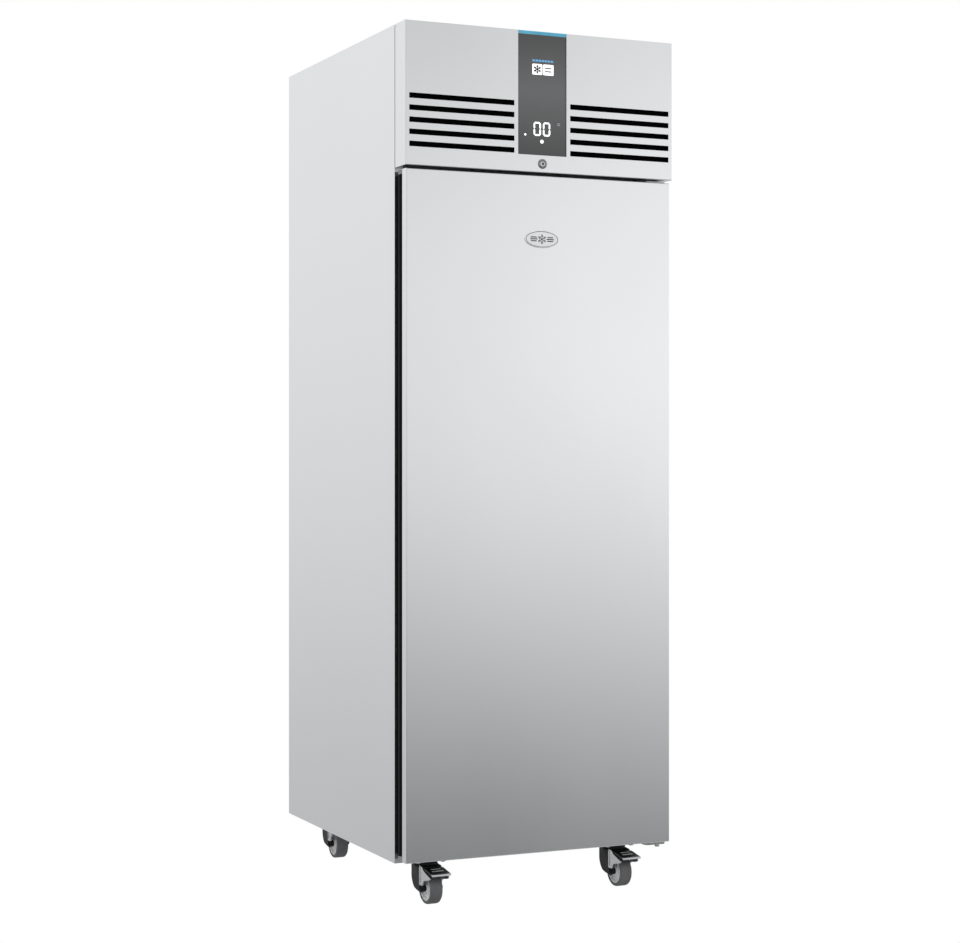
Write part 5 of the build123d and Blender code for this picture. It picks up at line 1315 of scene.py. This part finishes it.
floorMesh = bpy.data.meshes.new("studioFloor")
half, grey = roomSizes["floor"], roomSizes["floorGrey"]
corners = [(x * half, y * half, -roomSizes["floorDrop"] * mm) for x,
           y in ((-1, -1), (1, -1), (1, 1), (-1, 1))]
floorMesh.from_pydata(corners, [], [(0, 1, 2, 3)])
floor = bpy.data.objects.new("studioFloor", floorMesh)
bpy.context.collection.objects.link(floor)
floorFinish = bpy.data.materials.new("paleFloor")
floorFinish.use_nodes = True
tree = floorFinish.node_tree
tree.nodes.clear()
seen = tree.nodes.new("ShaderNodeEmission")
seen.inputs["Color"].default_value = (1, 1, 1, 1)
soft = tree.nodes.new("ShaderNodeEmission")
soft.inputs["Color"].default_value = (grey, grey, grey + 0.01, 1)
showApart(tree, tree.nodes.new("ShaderNodeOutputMaterial"), soft, seen)
floorMesh.materials.append(floorFinish)
floor.visible_glossy = False

# brightness of the soft room by height above the horizon (sine), in front and behind
roomGlow = {
    "front": [(-1, 0.5), (-0.5, 0.4), (-0.25, 0.1), (-0.2, 0.13), (-0.14, 0.4), (-0.06, 0.85),
              (0.08, 1.15), (0.18, 0.78), (0.25, 0.75), (1, 1)],
    "behind": [(-1, 0.5), (-0.4, 0.5), (-0.2, 0.57), (0, 0.83), (0.1, 0.9), (1, 0.95)],
    "rightLift": 1.5,  # how much brighter the front wall grows towards the right
    "liftMiddle": 0.43,
    "liftHeights": (0.13, 0.18),  # between these heights the lift grows by liftMore
    "liftMore": 4.5,
    "liftLimits": (-0.19, 0.15),
}
world = bpy.data.worlds.new("softStudio")
bpy.context.scene.world = world
world.use_nodes = True
tree = world.node_tree
tree.nodes.clear()
coords = tree.nodes.new("ShaderNodeTexCoord")
split = tree.nodes.new("ShaderNodeSeparateXYZ")
tree.links.new(coords.outputs["Generated"], split.inputs["Vector"])


def glowCurve(stops):
    # a float curve over height, from -1 to 1
    scaled = spread(tree, split.outputs["Z"], 0.0, 1.0, -1.0, 1.0)
    curve = tree.nodes.new("ShaderNodeFloatCurve")
    line = curve.mapping.curves[0]
    while len(line.points) > 2:
        line.points.remove(line.points[1])
    spots = [((sineValue + 1) / 2, glow / 2) for sineValue, glow in stops]
    line.points[0].location, line.points[-1].location = spots[0], spots[-1]
    for spot in spots[1:-1]:
        line.points.new(*spot)
    curve.mapping.update()
    tree.links.new(scaled, curve.inputs["Value"])
    return curve.outputs["Value"]


frontGlow, behindGlow = glowCurve(roomGlow["front"]), glowCurve(roomGlow["behind"])
aside = reckon(tree, "SUBTRACT", split.outputs["X"], roomGlow["liftMiddle"])
lift = reckon(tree, "MULTIPLY", aside, roomGlow["rightLift"])
higher = spread(tree, split.outputs["Z"], 1.0, roomGlow["liftMore"], *roomGlow["liftHeights"])
least, most = roomGlow["liftLimits"]
lift = reckon(tree, "MINIMUM", reckon(tree, "MAXIMUM", reckon(tree, "MULTIPLY", lift, higher), least), most)
frontGlow = reckon(tree, "MULTIPLY", frontGlow, reckon(tree, "ADD", lift, 1.0))
turnBack = spread(tree, split.outputs["Y"], 0.0, 1.0, -0.35, 0.35)
glowNow = reckon(tree, "MULTIPLY_ADD", turnBack, reckon(tree, "SUBTRACT", behindGlow, frontGlow), frontGlow)
roomLight = tree.nodes.new("ShaderNodeBackground")
roomLight.inputs["Color"].default_value = (0.985, 0.995, 1.0, 1)
tree.links.new(reckon(tree, "MULTIPLY", glowNow, 2.0), roomLight.inputs["Strength"])
paper = tree.nodes.new("ShaderNodeBackground")
paper.inputs["Color"].default_value = (1, 1, 1, 1)
showApart(tree, tree.nodes.new("ShaderNodeOutputWorld"), roomLight, paper)

lightSizes = {"power": 60, "width": 3.0, "spot": (-2.6, -3.4, 4.2)}
lampData = bpy.data.lights.new("bigSoftbox", "AREA")
lampData.shape = "SQUARE"
lampData.size = lightSizes["width"]
lampData.energy = lightSizes["power"]
lamp = bpy.data.objects.new("bigSoftbox", lampData)
bpy.context.collection.objects.link(lamp)
lamp.location = lightSizes["spot"]
lamp.rotation_euler = (Vector((0, 0, 0.8)) - lamp.location).to_track_quat("-Z", "Y").to_euler()
lamp.visible_glossy = False

cameraSizes = {"spot": (-2.174, -4.887, 1.062), "turn": -24.19, "lens": 78.88, "shiftY": -0.0197}
cameraData = bpy.data.cameras.new("camera")
cameraData.lens = cameraSizes["lens"]
cameraData.sensor_width = 36
cameraData.shift_y = cameraSizes["shiftY"]
camera = bpy.data.objects.new("camera", cameraData)
bpy.context.collection.objects.link(camera)
camera.location = cameraSizes["spot"]
camera.rotation_euler = (pi / 2, 0, radians(cameraSizes["turn"]))
bpy.context.scene.camera = camera
bpy.context.scene.view_settings.view_transform = "Standard"
print("room and camera set")
